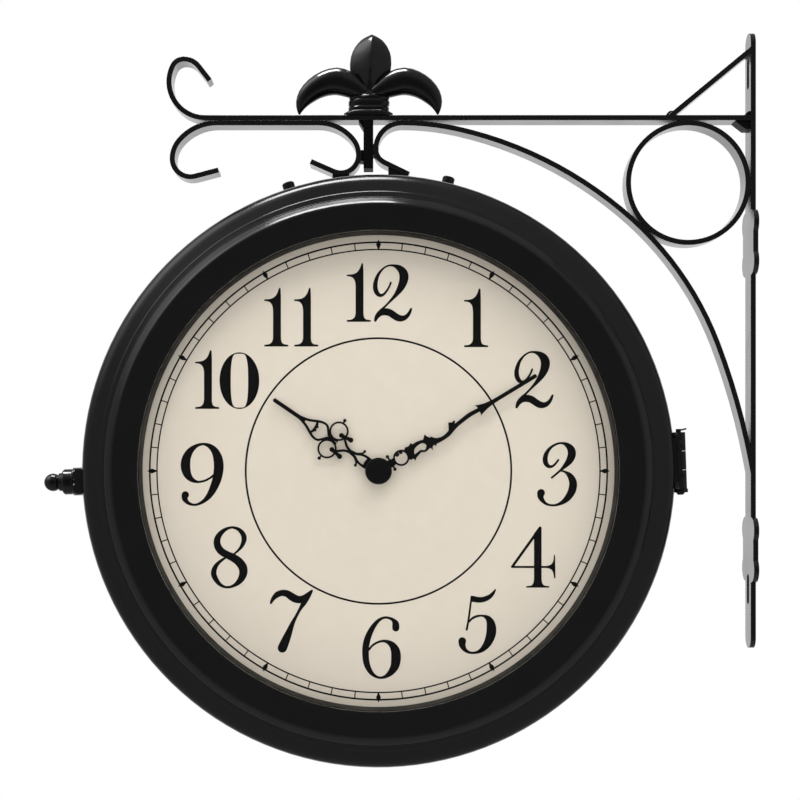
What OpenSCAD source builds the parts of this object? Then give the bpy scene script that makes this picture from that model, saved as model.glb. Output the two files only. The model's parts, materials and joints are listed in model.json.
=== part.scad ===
// Double sided wall clock hung on a scrolled bracket. Lengths are in millimetres and angles in degrees.
// Origin: on the wall face, at the middle of the two wall slots. +Z is up, +X points into the wall, and
// the front dial faces -Y. The bracket is flat bar bent in the XZ plane.

/* [Housing] */
// Width of each bezel, from the opening to the outside
bezel_w = 39; // [34:0.1:42]
// Depth of the housing over both bezels
case_depth = 100; // [96:1:110]
// Width of bare drum between the two bezel skirts
drum_gap = 24; // [22:1:28]
// How far the drum reaches under each bezel skirt
drum_lap = 6; // [5:0.5:8]
// Wall of the drum and of the bezels
shell_wall = 2.5; // [2:0.1:3]
// Radial play between the drum and the bezel skirts
skirt_play = 0.5; // [0.3:0.1:0.8]
// Turn of the hung housing about its own axis, while the dials stay upright
housing_turn = 2; // [0:0.5:4]
// Distance from the side of the housing to the wall
wall_gap = 57.1; // [54:0.1:75]

/* [Bezel profile] */
// Radius of the round shoulder between skirt and front
shoulder_r = 11; // [8:0.5:12]
// Width of the flat land between the shoulder and the raised ovolo
land_w = 3.3; // [1.5:0.1:4]
// Radius of the ovolo round the front band
ovolo_r = 6.2; // [4:0.1:7]
// Height of the ovolo over the land
ovolo_rise = 10.5; // [8:0.5:12]
// How far the front band falls towards the opening
band_fall = 3.3; // [2:0.1:5]
// Thickness of the lip that holds the glass
lip_t = 2.3; // [2:0.1:3]

/* [Dial and glass] */
// Radius of the opening in front of the dial
opening_r = 152.9; // [140:0.1:165]
// Width of the lip that overlaps the glass
lip_w = 5.7; // [4:0.1:6]
// Thickness of the glass
glass_t = 2.5; // [2:0.1:3]
// Thickness of the gasket ahead of the glass
gasket_t = 0.7; // [0.5:0.1:1]
// Room for the hands between dial and glass
hand_room = 16.2; // [15:0.1:20]
// Thickness of the dial plate
dial_t = 1.2; // [1:0.1:1.6]
// Play round the glass and the dial in the bezel
cup_play = 0.3; // [0.2:0.1:0.5]
// Number of screws in each retaining ring
ring_screws = 6; // [4:1:8]
// Thickness of the ring that holds the dial from behind
ring_t = 2; // [1.5:0.1:3]

/* [Movement] */
// Side of the square movement
movement_w = 56; // [56:0.5:60]
// Thickness of the movement
movement_t = 16; // [16:0.5:18]
// Diameter of the threaded bush
bush_d = 7.8; // [7.2:0.1:9]
// Height of the threaded bush over the dial plate
bush_h = 3.6; // [3:0.1:4]
// Diameter of the pipe that carries the hour hand
pipe_d = 5.1; // [4.8:0.1:5.6]
// Diameter of the arbor that carries the minute hand
arbor_d = 3.2; // [2.8:0.1:3.6]
// Radial clearance of the turning pipes and arbors
run_fit = 0.05; // [0.03:0.01:0.08]
// Diameter of the battery
battery_d = 14.5; // [14:0.1:14.5]
// Length of the battery with its tip
battery_l = 50.5; // [50:0.1:51]
// Diameter of the time setting wheel
set_d = 12; // [10:0.5:14]
// Thickness of the time setting wheel
set_t = 3; // [2:0.1:4]

/* [Hands] */
// Length of the minute hand
minute_len = 119; // [110:1:122]
// Length of the hour hand
hour_len = 82; // [76:1:86]
// Thickness of both hands
hand_t = 0.8; // [0.6:0.1:1]
// Shown position of the minute hand, clockwise from twelve
minute_angle = 58.8; // [0:0.1:360]
// Shown position of the hour hand, clockwise from twelve
hour_angle = 304.3; // [0:0.1:360]
// Diameter of the cap over both hands
cap_d = 17.2; // [15:0.1:18]
// Thickness of the cap
cap_t = 2.4; // [2:0.1:3]

/* [Bracket bar] */
// Width of the flat bar, along Y
bar_w = 15; // [14:0.5:18]
// Thickness of the flat bar
bar_t = 3.4; // [3:0.1:4]
// Height of the rail above the middle of the wall slots
rail_rise = 140.7; // [136:0.1:146]
// Height of the rail above the top of the housing
rail_gap = 41.3; // [40:0.1:48]
// Straight reach of the rail past the clock's axis
rail_tail = 114.6; // [105:0.1:125]
// Radii of the rail's end scroll: outer sweep, turn and curl
rail_scroll = [23.7, 8, 12.2];
// Turn of each part of the rail's end scroll
rail_turns = [116.7, 60.9, 54.5];
// Straight tip of the rail's end scroll
rail_tip = 12; // [6:1:16]

/* [Lower scroll] */
// Straight reach of the lower scroll past the clock's axis
scroll_tail = 106.7; // [95:0.1:112]
// Radii of the left end: shoulder, drop and curl
scroll_left = [32.7, 18.7, 11.9];
// Straight tip at the left end
left_tip = 16.1; // [10:0.1:20]
// Radii of the right end: shoulder, drop and curl
scroll_right = [29.7, 16.6, 11.8];
// Straight tip at the right end
right_tip = 16.5; // [10:0.1:22]
// Gap between the right curl and the post, filled by the weld
scroll_gap = 1.5; // [0:0.1:2]

/* [Arch brace] */
// Radii of the sweep from the rail down to the wall strip, before it is fitted between them
arch_sweep = [168.5, 256.1, 211.8, 460.5];
// Turn of each part of the sweep
arch_turns = [12.7, 29.4, 27.1, 9.9];
// Radii of the curl at the post, upper and lower part
arch_curl = [17.3, 9.7];
// Turn of the lower part of the curl
arch_curl_turn = 64; // [60:1:72]
// Straight tip that lies on the right foot
arch_tip = 18.2; // [16:0.1:20]

/* [Braces and post] */
// Width of the hanging post
post_w = 6.4; // [5:0.1:8]
// Gap between the foot of the post and the top of the housing
post_clear = 8; // [6:0.5:12]
// Reach of the diagonal brace along the rail
diagonal_reach = 52; // [44:1:60]
// Reach of the diagonal brace up the wall strip
diagonal_rise = 43; // [36:1:50]
// Legs of the small gusset under the rail, along the rail and down the strip
gusset = [10, 5.5];
// Width of the foot under the lower scroll
left_foot_w = 11; // [8:0.1:14]
// Width of the foot under the arch brace
right_foot_w = 14.2; // [11:0.1:15]
// Radius of the weld beads
weld_r = 4; // [3:0.1:4.5]

/* [Wall strip] */
// Height of the strip's top end above the middle of the wall slots
strip_top = 198; // [190:0.5:210]
// Depth of the strip's bottom end below the middle of the wall slots
strip_bottom = 210; // [200:0.5:225]
// Distance between the two wall slots
slot_spacing = 342; // [336:1:350]
// Width of a wall slot
slot_w = 5.5; // [4.5:0.1:7]
// Length of a wall slot over its round ends
slot_l = 20; // [14:0.5:22]
// Width over the scalloped parts of the strip
scallop_w = 33; // [28:0.5:36]
// Length of a scalloped part
scallop_l = 43; // [40:0.5:48]
// Height of the middle of the upper scalloped part
scallop_high = 58.5; // [50:0.5:66]
// Depth of the middle of the lower scalloped part
scallop_low = 144.5; // [132:0.5:148]

/* [Finial] */
// Height of the finial over the rail
finial_h = 55.1; // [50:0.1:60]
// Half of the finial's width over its side lobes
finial_half_w = 47.3; // [44:0.1:52]
// Thickness of the finial from front to back
finial_t = 17; // [14:0.5:20]
// How far the finial leans to the right, as a share of its height
finial_lean = 0.042; // [0:0.002:0.06]

/* [Hinge and latch] */
// Diameter of the hinge barrel
barrel_d = 8.8; // [8:0.1:10]
// Length of the hinge barrel
barrel_l = 37; // [34:1:46]
// Distance from the bezel skirt to the hinge axis
hinge_out = 5.8; // [5.6:0.1:9]
// Diameter of the hinge pin
pin_d = 3.4; // [3:0.1:4.5]
// Thickness of the hinge leaves and the latch plate
leaf_t = 2; // [1.6:0.1:2.4]
// Diameter of the latch knob's flange
knob_flange_d = 18.6; // [16:0.1:20]
// Diameter of the latch knob's ball
knob_ball_d = 11.8; // [10:0.1:13]
// Diameter of the latch knob's spindle
spindle_d = 6; // [5:0.1:6.5]
// Height of the latch bush over the bezel skirt
bush_proud = 1.9; // [1.5:0.1:5]
// Gap round the spindle and under the flange of the latch knob
latch_gap = 0.6; // [0.5:0.1:0.8]

/* [Fasteners] */
// Diameter of the small screws' shanks
screw_d = 3.9; // [3.5:0.1:4.2]
// Diameter of the small screws' heads
screw_head_d = 7; // [6.5:0.1:7.5]
// Thickness of the small screws' heads
screw_head_t = 2; // [1.5:0.1:2.5]
// Radial clearance of a screw in its hole
screw_fit = 0.05; // [0.03:0.01:0.2]
// Diameter of the studs on top of the housing
stud_d = 6.6; // [5:0.1:7]
// Diameter of the studs' heads
stud_head_d = 8.2; // [7.5:0.1:9]
// Height of the studs' heads over the housing radius
stud_top = 9; // [8.5:0.1:14]
// Angle of each stud from the top of the housing
stud_angle = 15.5; // [14:0.5:20]

/* [Hidden] */

$fn = 64;
eps = 0.01;
// How far a cut runs past a surface, and the small gap under a head
cut = 3;
seat_gap = 0.05;
black = "#1d1d1f";
steel = "#9b9da0";
brass = "#b08d4a";
cream = "#e0d6c4";

// Places of the bracket and the clock
case_r = opening_r + bezel_w;
clock_x = -(case_r + wall_gap);
rail_z = rail_rise;
clock_z = rail_z - rail_gap - case_r;
strip_face = -bar_t;
rail_under = rail_z - bar_t / 2;
rail_over = rail_z + bar_t / 2;
under_z = rail_z - bar_t;
post_x = clock_x - case_r * sin(housing_turn);

// Radii of the housing
drum_r = case_r - shell_wall - skirt_play;
drum_in = drum_r - shell_wall;
skirt_in = case_r - shell_wall;
drum_half = drum_gap / 2;

// Heights along the dial's axis, from the middle of the housing towards the viewer
face_h = case_depth / 2;
lip_h = face_h - band_fall;
seat_h = lip_h - lip_t;
glass_h = seat_h - gasket_t;
spacer_h = glass_h - glass_t;
dial_h = spacer_h - hand_room;
back_h = dial_h - dial_t;
ring_h = back_h - ring_t;
movement_h = back_h - movement_t;
cup_r = opening_r + lip_w;
glass_r = cup_r - cup_play;
screw_post_r = 3.5;
post_r = cup_r + shell_wall + screw_post_r - 0.3;
ring_r = post_r + screw_post_r;

// Heights of the hand stack
nut_t = 3;
hour_lift = 0.5;
hand_gap = 1.6;
hour_hand_h = dial_h + bush_h + hour_lift;
minute_hand_h = hour_hand_h + hand_t + hand_gap;

// Largest gap between a round outline and its facets
chord_error = 0.05;

// Stations along a bent bar. A station is [x, z, heading] and a leg is [radius, turn], or [length, 0].
function arc_steps(r, turn) = max(2, ceil(abs(turn) / (2 * acos(1 - chord_error / r))));
function leg_end(s, leg) =
    leg[1] == 0 ? [s[0] + leg[0] * cos(s[2]), s[1] + leg[0] * sin(s[2]), s[2]]
    : let (r = leg[0] * sign(leg[1]), a = s[2] + leg[1])
      [s[0] + r * (sin(a) - sin(s[2])), s[1] - r * (cos(a) - cos(s[2])), a];
function leg_stations(s, leg) =
    leg[1] == 0 ? [leg_end(s, leg)]
    : let (n = arc_steps(leg[0], leg[1])) [for (i = [1:n]) leg_end(s, [leg[0], leg[1] * i / n])];
function walk(s, legs, i = 0) =
    i == len(legs) ? []
    : let (part = leg_stations(s, legs[i])) concat(part, walk(part[len(part) - 1], legs, i + 1));
function stations(s, legs) = concat([s], walk(s, legs));
function turned(st) = [for (i = [len(st) - 1:-1:0]) [st[i][0], st[i][1], st[i][2] + 180]];
function side(st, d) = [for (s = st) [s[0] - d * sin(s[2]), s[1] + d * cos(s[2])]];
function reversed(list) = [for (i = [len(list) - 1:-1:0]) list[i]];
function bar_outline(st) = concat(side(st, bar_t / 2), reversed(side(st, -bar_t / 2)));

// Outlines that lie in the XZ plane, pushed out to a depth along Y
module upright(depth) {
    rotate([90, 0, 0]) translate([0, 0, -depth / 2]) linear_extrude(depth) children();
}

// A smooth curve through control points, by cubic steps that pass through each point
function step_between(a, b, c, d, t) =
    0.5 * (2 * b + (c - a) * t + (2 * a - 5 * b + 4 * c - d) * t * t + (3 * b - a - 3 * c + d) * t * t * t);
function smooth(p, n) =
    concat([for (i = [0:len(p) - 2]) for (k = [0:n - 1])
                step_between(p[max(i - 1, 0)], p[i], p[i + 1], p[min(i + 2, len(p) - 1)], k / n)],
           [p[len(p) - 1]]);
function heading(p, i) =
    let (a = p[max(i - 1, 0)], b = p[min(i + 1, len(p) - 1)]) atan2(b[1] - a[1], b[0] - a[0]);

// A band that follows control points [x, y, half width], drawn anticlockwise like every other outline
function edge(p, s) =
    [for (i = [0:len(p) - 1]) let (h = heading(p, i), w = s * p[i][2])
        [p[i][0] - w * sin(h), p[i][1] + w * cos(h)]];
module band(control, n = 3) {
    p = smooth(control, n);
    polygon(concat(edge(p, -1), reversed(edge(p, 1))));
}
function mirrored(s, control) = [for (q = control) [s * q[0], q[1], q[2]]];

module dot(x, y, r) {
    translate([x, y]) circle(r);
}

// Bent bars of the bracket

left_curl_turn = 104.7;
right_curl_turn = 113.6;
rail_st = stations([strip_face, rail_z, 180],
                   concat([[strip_face - clock_x + rail_tail, 0]],
                          [for (i = [0:len(rail_scroll) - 1]) [rail_scroll[i], -rail_turns[i]]],
                          [[rail_tip, 0]]));

// The lower scroll hangs under the rail and its right curl is welded to the post
scroll_end_x = post_x - post_w / 2 - bar_t / 2 - scroll_gap;
scroll_shoulder = [50, 40];
scroll_right_x = scroll_end_x - scroll_right[0] * sin(scroll_shoulder[0])
                 - scroll_right[1] * (1 - sin(scroll_shoulder[0]));
scroll_left_st = stations([clock_x - scroll_tail, under_z, 180],
                          [[scroll_left[0], scroll_shoulder[0]], [scroll_left[1], scroll_shoulder[1]],
                           [scroll_left[2], left_curl_turn], [left_tip, 0]]);
scroll_right_st = stations([scroll_right_x, under_z, 0],
                           [[scroll_right[0], -scroll_shoulder[0]],
                            [scroll_right[1], -scroll_shoulder[1]],
                            [scroll_right[2], -right_curl_turn], [right_tip, 0]]);
scroll_st = concat(turned(scroll_left_st), scroll_right_st);
scroll_drop = scroll_right[0] * (1 - cos(scroll_shoulder[0]))
              + scroll_right[1] * cos(scroll_shoulder[0]);
curl_c = [scroll_end_x - scroll_right[2], under_z - scroll_drop];

// The arch starts at the post, touches the rail and is fitted so that it ends on the wall strip,
// which cuts off the straight bit added at its end
arch_over = 4 * bar_t;
arch_touch_x = post_x + post_w / 2 + bar_t / 2 + arch_curl[0];
function turn_sum(n) = n == 0 ? 0 : turn_sum(n - 1) + arch_turns[n - 1];
function arch_run(n) =
    n == 0 ? 0 : arch_run(n - 1) + arch_sweep[n - 1] * (sin(turn_sum(n)) - sin(turn_sum(n - 1)));
function arch_fall(n) =
    n == 0 ? 0 : arch_fall(n - 1) + arch_sweep[n - 1] * (cos(turn_sum(n - 1)) - cos(turn_sum(n)));
arch_fit = (strip_face - arch_touch_x) / arch_run(len(arch_sweep));
arch_curl_st = stations([arch_touch_x, under_z, 180],
                        [[arch_curl[0], 90], [arch_curl[1], arch_curl_turn], [arch_tip, 0]]);
arch_sweep_st = walk([arch_touch_x, under_z, 0],
                     concat([for (i = [0:len(arch_sweep) - 1])
                                 [arch_sweep[i] * arch_fit, -arch_turns[i]]],
                            [[arch_over, 0]]));
arch_st = concat(turned(arch_curl_st), arch_sweep_st);

// The ring touches the rail, the wall strip and the third part of the arch
ring_arc_r = arch_sweep[2] * arch_fit;
ring_arc_c = [arch_touch_x + arch_fit * (arch_run(2) - arch_sweep[2] * sin(turn_sum(2))),
              under_z - arch_fit * (arch_fall(2) + arch_sweep[2] * cos(turn_sum(2)))];
ring_a = strip_face - ring_arc_c[0];
ring_b = rail_under - ring_arc_c[1];
ring_c = ring_arc_r + bar_t / 2;
corner_r = ring_a + ring_b + ring_c
           - sqrt(pow(ring_a + ring_b + ring_c, 2) - ring_a * ring_a - ring_b * ring_b + ring_c * ring_c);
corner_c = [strip_face - corner_r, rail_under - corner_r];

module top_rail() {
    color(black) upright(bar_w) polygon(bar_outline(rail_st));
}

module lower_scroll() {
    color(black) upright(bar_w) polygon(bar_outline(scroll_st));
}

module arch_outline() {
    difference() {
        polygon(bar_outline(arch_st));
        translate([strip_face, -strip_bottom]) square([2 * arch_over, strip_bottom + strip_top]);
    }
}

module arch_brace() {
    color(black) upright(bar_w) arch_outline();
}

module ring_outline() {
    translate(corner_c) difference() {
        circle(corner_r, $fn = 128);
        circle(corner_r - bar_t, $fn = 128);
    }
}

module corner_ring() {
    color(black) upright(bar_w) ring_outline();
}

// The diagonal is cut flush on the rail and on the wall strip
module diagonal_outline() {
    slope = atan2(diagonal_rise, diagonal_reach);
    length = norm([diagonal_rise, diagonal_reach]);
    intersection() {
        translate([strip_face - diagonal_reach, rail_over]) rotate(slope)
            translate([-length, -bar_t / 2]) square([3 * length, bar_t]);
        translate([strip_face - 2 * diagonal_reach, rail_over])
            square([2 * diagonal_reach, 2 * diagonal_rise]);
    }
}

module diagonal_brace() {
    color(black) upright(bar_w) diagonal_outline();
}

// The gusset, the feet and the welds stop short of the bars' edges
edge_inset = 1.5;

module gusset_outline() {
    x = -gusset[0];
    z = -gusset[1];
    translate([strip_face, rail_under])
        polygon([[0, 0], [x, 0], [0.7 * x, 0.45 * z], [0.3 * x, z], [0, z]]);
}

module corner_gusset() {
    color(black) upright(bar_w - 2 * edge_inset) gusset_outline();
}

post_foot_z = clock_z + case_r + post_clear;

module post_outline() {
    translate([post_x - post_w / 2, post_foot_z]) square([post_w, rail_under - post_foot_z]);
}

module hanger_post() {
    color(black) upright(bar_w) post_outline();
}

module bracket_outlines() {
    polygon(bar_outline(rail_st));
    polygon(bar_outline(scroll_st));
    arch_outline();
    ring_outline();
    diagonal_outline();
    post_outline();
    translate([strip_face, -strip_bottom]) square([bar_t, strip_bottom + strip_top]);
}

// A bead fills the corners round one meeting of two bars, inside a circle and clear of the wall. The
// fillet beside the top of the post is straight.
post_fillet = [3.3, 5.3];

module weld_bead(x, z, r) {
    difference() {
        translate([x, z]) circle(r);
        bracket_outlines();
        translate([0, z - 2 * r]) square(4 * r);
    }
}

// Where the ring meets the arch
ring_touch_a = atan2(corner_c[1] - ring_arc_c[1], corner_c[0] - ring_arc_c[0]);
ring_touch = corner_c - corner_r * [cos(ring_touch_a), sin(ring_touch_a)];

// Places of the welds, each with its size as a share of the full bead
weld_places = [
    [ring_touch[0], ring_touch[1], 0.84],
    [corner_c[0], rail_under, 0.84],
    [strip_face, corner_c[1], 0.84],
    [scroll_end_x + (bar_t + scroll_gap) / 2, curl_c[1], 0.9],
    [arch_touch_x - arch_curl[0] - bar_t / 2, under_z - arch_curl[0], 0.9],
    [strip_face - diagonal_reach, rail_over, 0.8],
    [strip_face, rail_over, 0.75]];

module weld_beads() {
    color(black) upright(bar_w - 2 * edge_inset) {
        for (p = weld_places) weld_bead(p[0], p[1], weld_r * p[2]);
        translate([post_x - post_w / 2, rail_under])
            polygon([[0, 0], [-post_fillet[0], 0], [0, -post_fillet[1]]]);
    }
}

// Wall strip: a bar with round ends, two scalloped parts and two slots

scallop_dip = 2.5;

module scallop(z) {
    lobe_r = scallop_l / 5;
    translate([0, z]) {
        square([scallop_w - 2 * scallop_dip, scallop_l - lobe_r], center = true);
        for (sx = [-1, 1], sy = [-1, 1])
            dot(sx * (scallop_w / 2 - lobe_r), sy * (scallop_l / 2 - lobe_r), lobe_r);
    }
}

module wall_strip() {
    color(black) rotate([90, 0, -90]) linear_extrude(bar_t) difference() {
        union() {
            translate([-bar_w / 2, -strip_bottom + bar_w / 2])
                square([bar_w, strip_bottom + strip_top - bar_w]);
            dot(0, strip_top - bar_w / 2, bar_w / 2);
            dot(0, bar_w / 2 - strip_bottom, bar_w / 2);
            scallop(scallop_high);
            scallop(-scallop_low);
        }
        for (s = [-1, 1]) translate([0, s * slot_spacing / 2]) {
            square([slot_w, slot_l - slot_w], center = true);
            for (e = [-1, 1]) dot(0, e * (slot_l - slot_w) / 2, slot_w / 2);
        }
    }
}

// Finial: a ridged middle leaf on a ringed neck, with a horn on each side

// A closed skin over rings of equally many points
module skin(rings) {
    n = len(rings[0]);
    m = len(rings);
    walls = [for (j = [0:m - 2]) for (i = [0:n - 1]) let (k = (i + 1) % n)
                 each [[j * n + i, (j + 1) * n + k, j * n + k],
                       [j * n + i, (j + 1) * n + i, (j + 1) * n + k]]];
    foot = [for (i = [1:n - 2]) [0, i, i + 1]];
    tip = [for (i = [1:n - 2]) [(m - 1) * n, (m - 1) * n + i + 1, (m - 1) * n + i]];
    polyhedron([for (r = rings) each r], concat(walls, foot, tip));
}

function signed_pow(v, e) = sign(v) * pow(abs(v), e);

// Middle leaf up its height, as shares of the finial's size: [height, half width, half depth, squareness]
leaf_shares = [[0, 0.346, 0.50, 5], [0.03, 0.346, 0.50, 5], [0.052, 0.30, 0.48, 5], [0.065, 0.285, 0.45, 4],
               [0.10, 0.288, 0.47, 3.5], [0.12, 0.275, 0.44, 3], [0.14, 0.288, 0.46, 3],
               [0.18, 0.29, 0.46, 3], [0.20, 0.275, 0.43, 2.6], [0.225, 0.285, 0.45, 2.6],
               [0.25, 0.27, 0.36, 2.4], [0.31, 0.215, 0.28, 2], [0.38, 0.16, 0.30, 1.6],
               [0.45, 0.20, 0.40, 1.4], [0.52, 0.262, 0.50, 1.25], [0.567, 0.286, 0.52, 1.2],
               [0.649, 0.291, 0.52, 1.2], [0.732, 0.282, 0.50, 1.2], [0.794, 0.261, 0.47, 1.2],
               [0.856, 0.224, 0.42, 1.2], [0.897, 0.189, 0.36, 1.2], [0.938, 0.143, 0.28, 1.2],
               [0.969, 0.088, 0.17, 1.3], [1, 0.012, 0.02, 1.5]];
// Middle line of a horn, as shares: [out, up, half width, half depth]
horn_shares = [[0.06, 0.285, 0.09, 0.34], [0.20, 0.355, 0.135, 0.42], [0.34, 0.41, 0.158, 0.43],
               [0.475, 0.437, 0.166, 0.47], [0.63, 0.41, 0.155, 0.46], [0.775, 0.345, 0.137, 0.41],
               [0.885, 0.255, 0.112, 0.33], [0.945, 0.165, 0.076, 0.22], [0.968, 0.085, 0.036, 0.11],
               [0.972, 0.035, 0.008, 0.02]];
leaf_points = 24;
horn_points = 16;

function leaf_ring(s) = [for (i = [0:leaf_points - 1]) let (a = 360 * i / leaf_points)
    [finial_half_w * s[1] * signed_pow(cos(a), 2 / s[3]) + finial_lean * finial_h * s[0],
     finial_t * s[2] * signed_pow(sin(a), 2 / s[3]), finial_h * s[0]]];

// One ring of a horn, to the right for s = 1 and to the left for s = -1
function horn_ring(p, j, s) =
    let (dx = (p[min(j + 1, len(p) - 1)][0] - p[max(j - 1, 0)][0]) * finial_half_w,
         dz = (p[min(j + 1, len(p) - 1)][1] - p[max(j - 1, 0)][1]) * finial_h,
         h = atan2(dz, dx), w = p[j][2] * finial_h)
    [for (i = [0:horn_points - 1])
        let (a = s * 360 * i / horn_points, z = finial_h * p[j][1] + w * cos(a) * cos(h))
        [s * (finial_half_w * p[j][0] - w * cos(a) * sin(h)) + finial_lean * z,
         -finial_t * p[j][3] * sin(a), z]];

module horn_solid(s) {
    p = smooth(horn_shares, 2);
    skin([for (j = [0:len(p) - 1]) horn_ring(p, j, s)]);
}

module fleur_finial() {
    color(black) translate([post_x, 0, rail_over]) {
        skin([for (s = leaf_shares) leaf_ring(s)]);
        horn_solid(1);
        horn_solid(-1);
    }
}

// Feet between the curls and the drum, held by screws from inside the drum

foot_z = clock_z + drum_r - 5;
foot_bite = 6;
foot_end_gap = 0.5;
foot_screw_l = shell_wall + foot_bite;
// How far the left foot reaches up beside the curl, as a share of the curl's radius
foot_rise = 0.15;

// The left foot is hollowed to the curl above it and to the drum below it
module left_foot() {
    color(black) difference() {
        upright(bar_w - 2 * edge_inset) difference() {
            translate([curl_c[0] - left_foot_w / 2, foot_z])
                square([left_foot_w, curl_c[1] - foot_z - scroll_right[2] * (1 - foot_rise)]);
            translate(curl_c) circle(scroll_right[2] + bar_t / 2);
            translate([clock_x, clock_z]) circle(drum_r, $fn = 256);
        }
        foot_hole(left_foot_angle);
    }
}

arch_under = side(arch_curl_st, -bar_t / 2 - seat_gap);
arch_tip_end = arch_under[len(arch_under) - 1];
arch_slope = arch_curl_turn - 90;
right_foot_top = arch_tip_end - right_foot_w * [cos(arch_slope), sin(arch_slope)];

module right_foot() {
    color(black) difference() {
        upright(bar_w - 2 * edge_inset) difference() {
            polygon([arch_tip_end, right_foot_top, [right_foot_top[0], foot_z], [arch_tip_end[0], foot_z]]);
            translate([clock_x, clock_z]) circle(drum_r, $fn = 256);
        }
        foot_hole(right_foot_angle);
    }
}

// Angles of the two feet from the top of the housing
left_foot_angle = asin((curl_c[0] - clock_x) / drum_r);
right_foot_angle = asin(((arch_tip_end[0] + right_foot_top[0]) / 2 - clock_x) / drum_r);

// The hole for a foot's screw, from inside the drum outwards
module foot_hole(angle) {
    translate([clock_x, 0, clock_z]) rotate([0, angle, 0]) translate([0, 0, drum_in - cut])
        cylinder(r = hole_r, h = foot_screw_l + cut);
}

module foot_screws() {
    color(steel) for (a = [left_foot_angle, right_foot_angle])
        translate([clock_x, 0, clock_z]) rotate([0, a, 0]) {
            translate([0, 0, drum_in - screw_head_t])
                cylinder(d = screw_head_d, h = screw_head_t - seat_gap);
            translate([0, 0, drum_in - screw_head_t / 2])
                cylinder(d = screw_d, h = foot_screw_l + screw_head_t / 2 - foot_end_gap);
        }
}

// Housing

module in_housing() {
    translate([clock_x, 0, clock_z]) rotate([0, -housing_turn, 0]) children();
}

// Points along a dial's axis: local Z runs out of the dial, X to the right of its viewer and Y up
module facing(rear) {
    translate([clock_x, 0, clock_z]) rotate([0, 0, rear ? 180 : 0]) rotate([90, 0, 0]) children();
}

// Hinge, latch and screw places in the housing's own frame
hinge_x = case_r + hinge_out;
hinge_y = -drum_half;
leaf_x = hinge_x - barrel_d / 2 + 0.3;
leaf_reach = 16;
pad_z = barrel_l / 2 - 4;
screw_z = barrel_l / 2 - 9;
knuckle_gap = 0.2;
knuckle_l = (barrel_l - 2 * knuckle_gap) / 3;
fixed_screw_y = -1;
door_screw_y = hinge_y - 9;
plate_x = case_r + bush_proud + latch_gap;
plate_half = 8;
prong_y = 5;
latch_screw_z = 4.4;
latch_bush_d = 16;
spigot_d = 10;
spigot_in = 4;
spindle_in = 2;
pin_fit = 0.02;
collar_t = 2.4;
pin_stub = 2.2;
pin_foot = 1.6;
pin_tail_l = 5.4;
pin_tail_d = 1.1;
hole_r = screw_d / 2 + screw_fit;
spigot_hole_r = spigot_d / 2 + screw_fit;
wall_hole_l = shell_wall + 2 * cut;

module along_x(x0, x1, y, z, r) {
    translate([x0, y, z]) rotate([0, 90, 0]) cylinder(r = r, h = x1 - x0);
}

// The drum has a flat for the hinge leaf, set back from the door
drum_pad_y = 3 - drum_half;
drum_pad_w = drum_gap - 3.5;

module case_drum() {
    color(black) difference() {
        in_housing() difference() {
            union() {
                rotate([90, 0, 0]) rotate_extrude($fn = 128)
                    translate([drum_in, -drum_half - drum_lap])
                        square([shell_wall, drum_gap + 2 * drum_lap]);
                difference() {
                    translate([drum_in, drum_pad_y, -pad_z])
                        cube([leaf_x - drum_in, drum_pad_w, 2 * pad_z]);
                    rotate([90, 0, 0])
                        cylinder(r = drum_r - shell_wall / 2, h = case_depth, center = true);
                }
            }
            for (s = [-1, 1]) along_x(drum_in - cut, leaf_x + cut, fixed_screw_y, s * screw_z, hole_r);
            for (s = [-1, 1]) rotate([0, s * stud_angle, 0]) translate([0, 0, drum_in - cut])
                cylinder(d = stud_d + 2 * screw_fit, h = wall_hole_l);
            for (a = bezel_screw_angles) rotate([0, a, 0]) translate([0, bezel_screw_y, drum_in - cut])
                cylinder(r = hole_r, h = wall_hole_l);
            along_x(-drum_r - cut, cut - drum_in, 0, 0, spigot_hole_r);
        }
        foot_hole(left_foot_angle);
        foot_hole(right_foot_angle);
    }
}

bezel_screw_angles = [45, 135, 225, 315];
bezel_screw_y = drum_half + drum_lap / 2;

// A screw whose head sits on the plane Z = 0 and whose shank runs down
module screw(length) {
    cylinder(d = screw_head_d, h = screw_head_t);
    translate([0, 0, -length]) cylinder(d = screw_d, h = length + eps);
}

bezel_screw_l = 2 * shell_wall + skirt_play + 2;

module bezel_screws() {
    color(steel) in_housing() for (a = bezel_screw_angles)
        rotate([0, a, 0]) translate([0, bezel_screw_y, case_r]) screw(bezel_screw_l);
}

stud_head_t = 4;
stud_bevel = 0.8;
stud_tail = 6;
stud_nut_t = 4;

module top_studs() {
    head_z = case_r + stud_top - stud_head_t;
    color(black) in_housing() for (s = [-1, 1]) rotate([0, s * stud_angle, 0]) {
        translate([0, 0, drum_in - stud_tail]) cylinder(d = stud_d, h = head_z - drum_in + stud_tail + 1);
        translate([0, 0, head_z]) cylinder(d = stud_head_d, h = stud_head_t - stud_bevel);
        translate([0, 0, head_z + stud_head_t - stud_bevel - eps])
            cylinder(d1 = stud_head_d, d2 = stud_head_d - 2 * stud_bevel, h = stud_bevel + eps);
    }
}

// A nut on each stud, inside the drum and outside it
module stud_nuts() {
    color(steel) in_housing() for (s = [-1, 1]) rotate([0, s * stud_angle, 0])
        for (z = [drum_in - stud_nut_t - 2 * seat_gap, drum_r + seat_gap])
            translate([0, 0, z]) difference() {
                cylinder(d = stud_d * 1.8, h = stud_nut_t, $fn = 6);
                translate([0, 0, -cut]) cylinder(d = stud_d + 2 * screw_fit, h = stud_nut_t + 2 * cut);
            }
}

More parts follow.
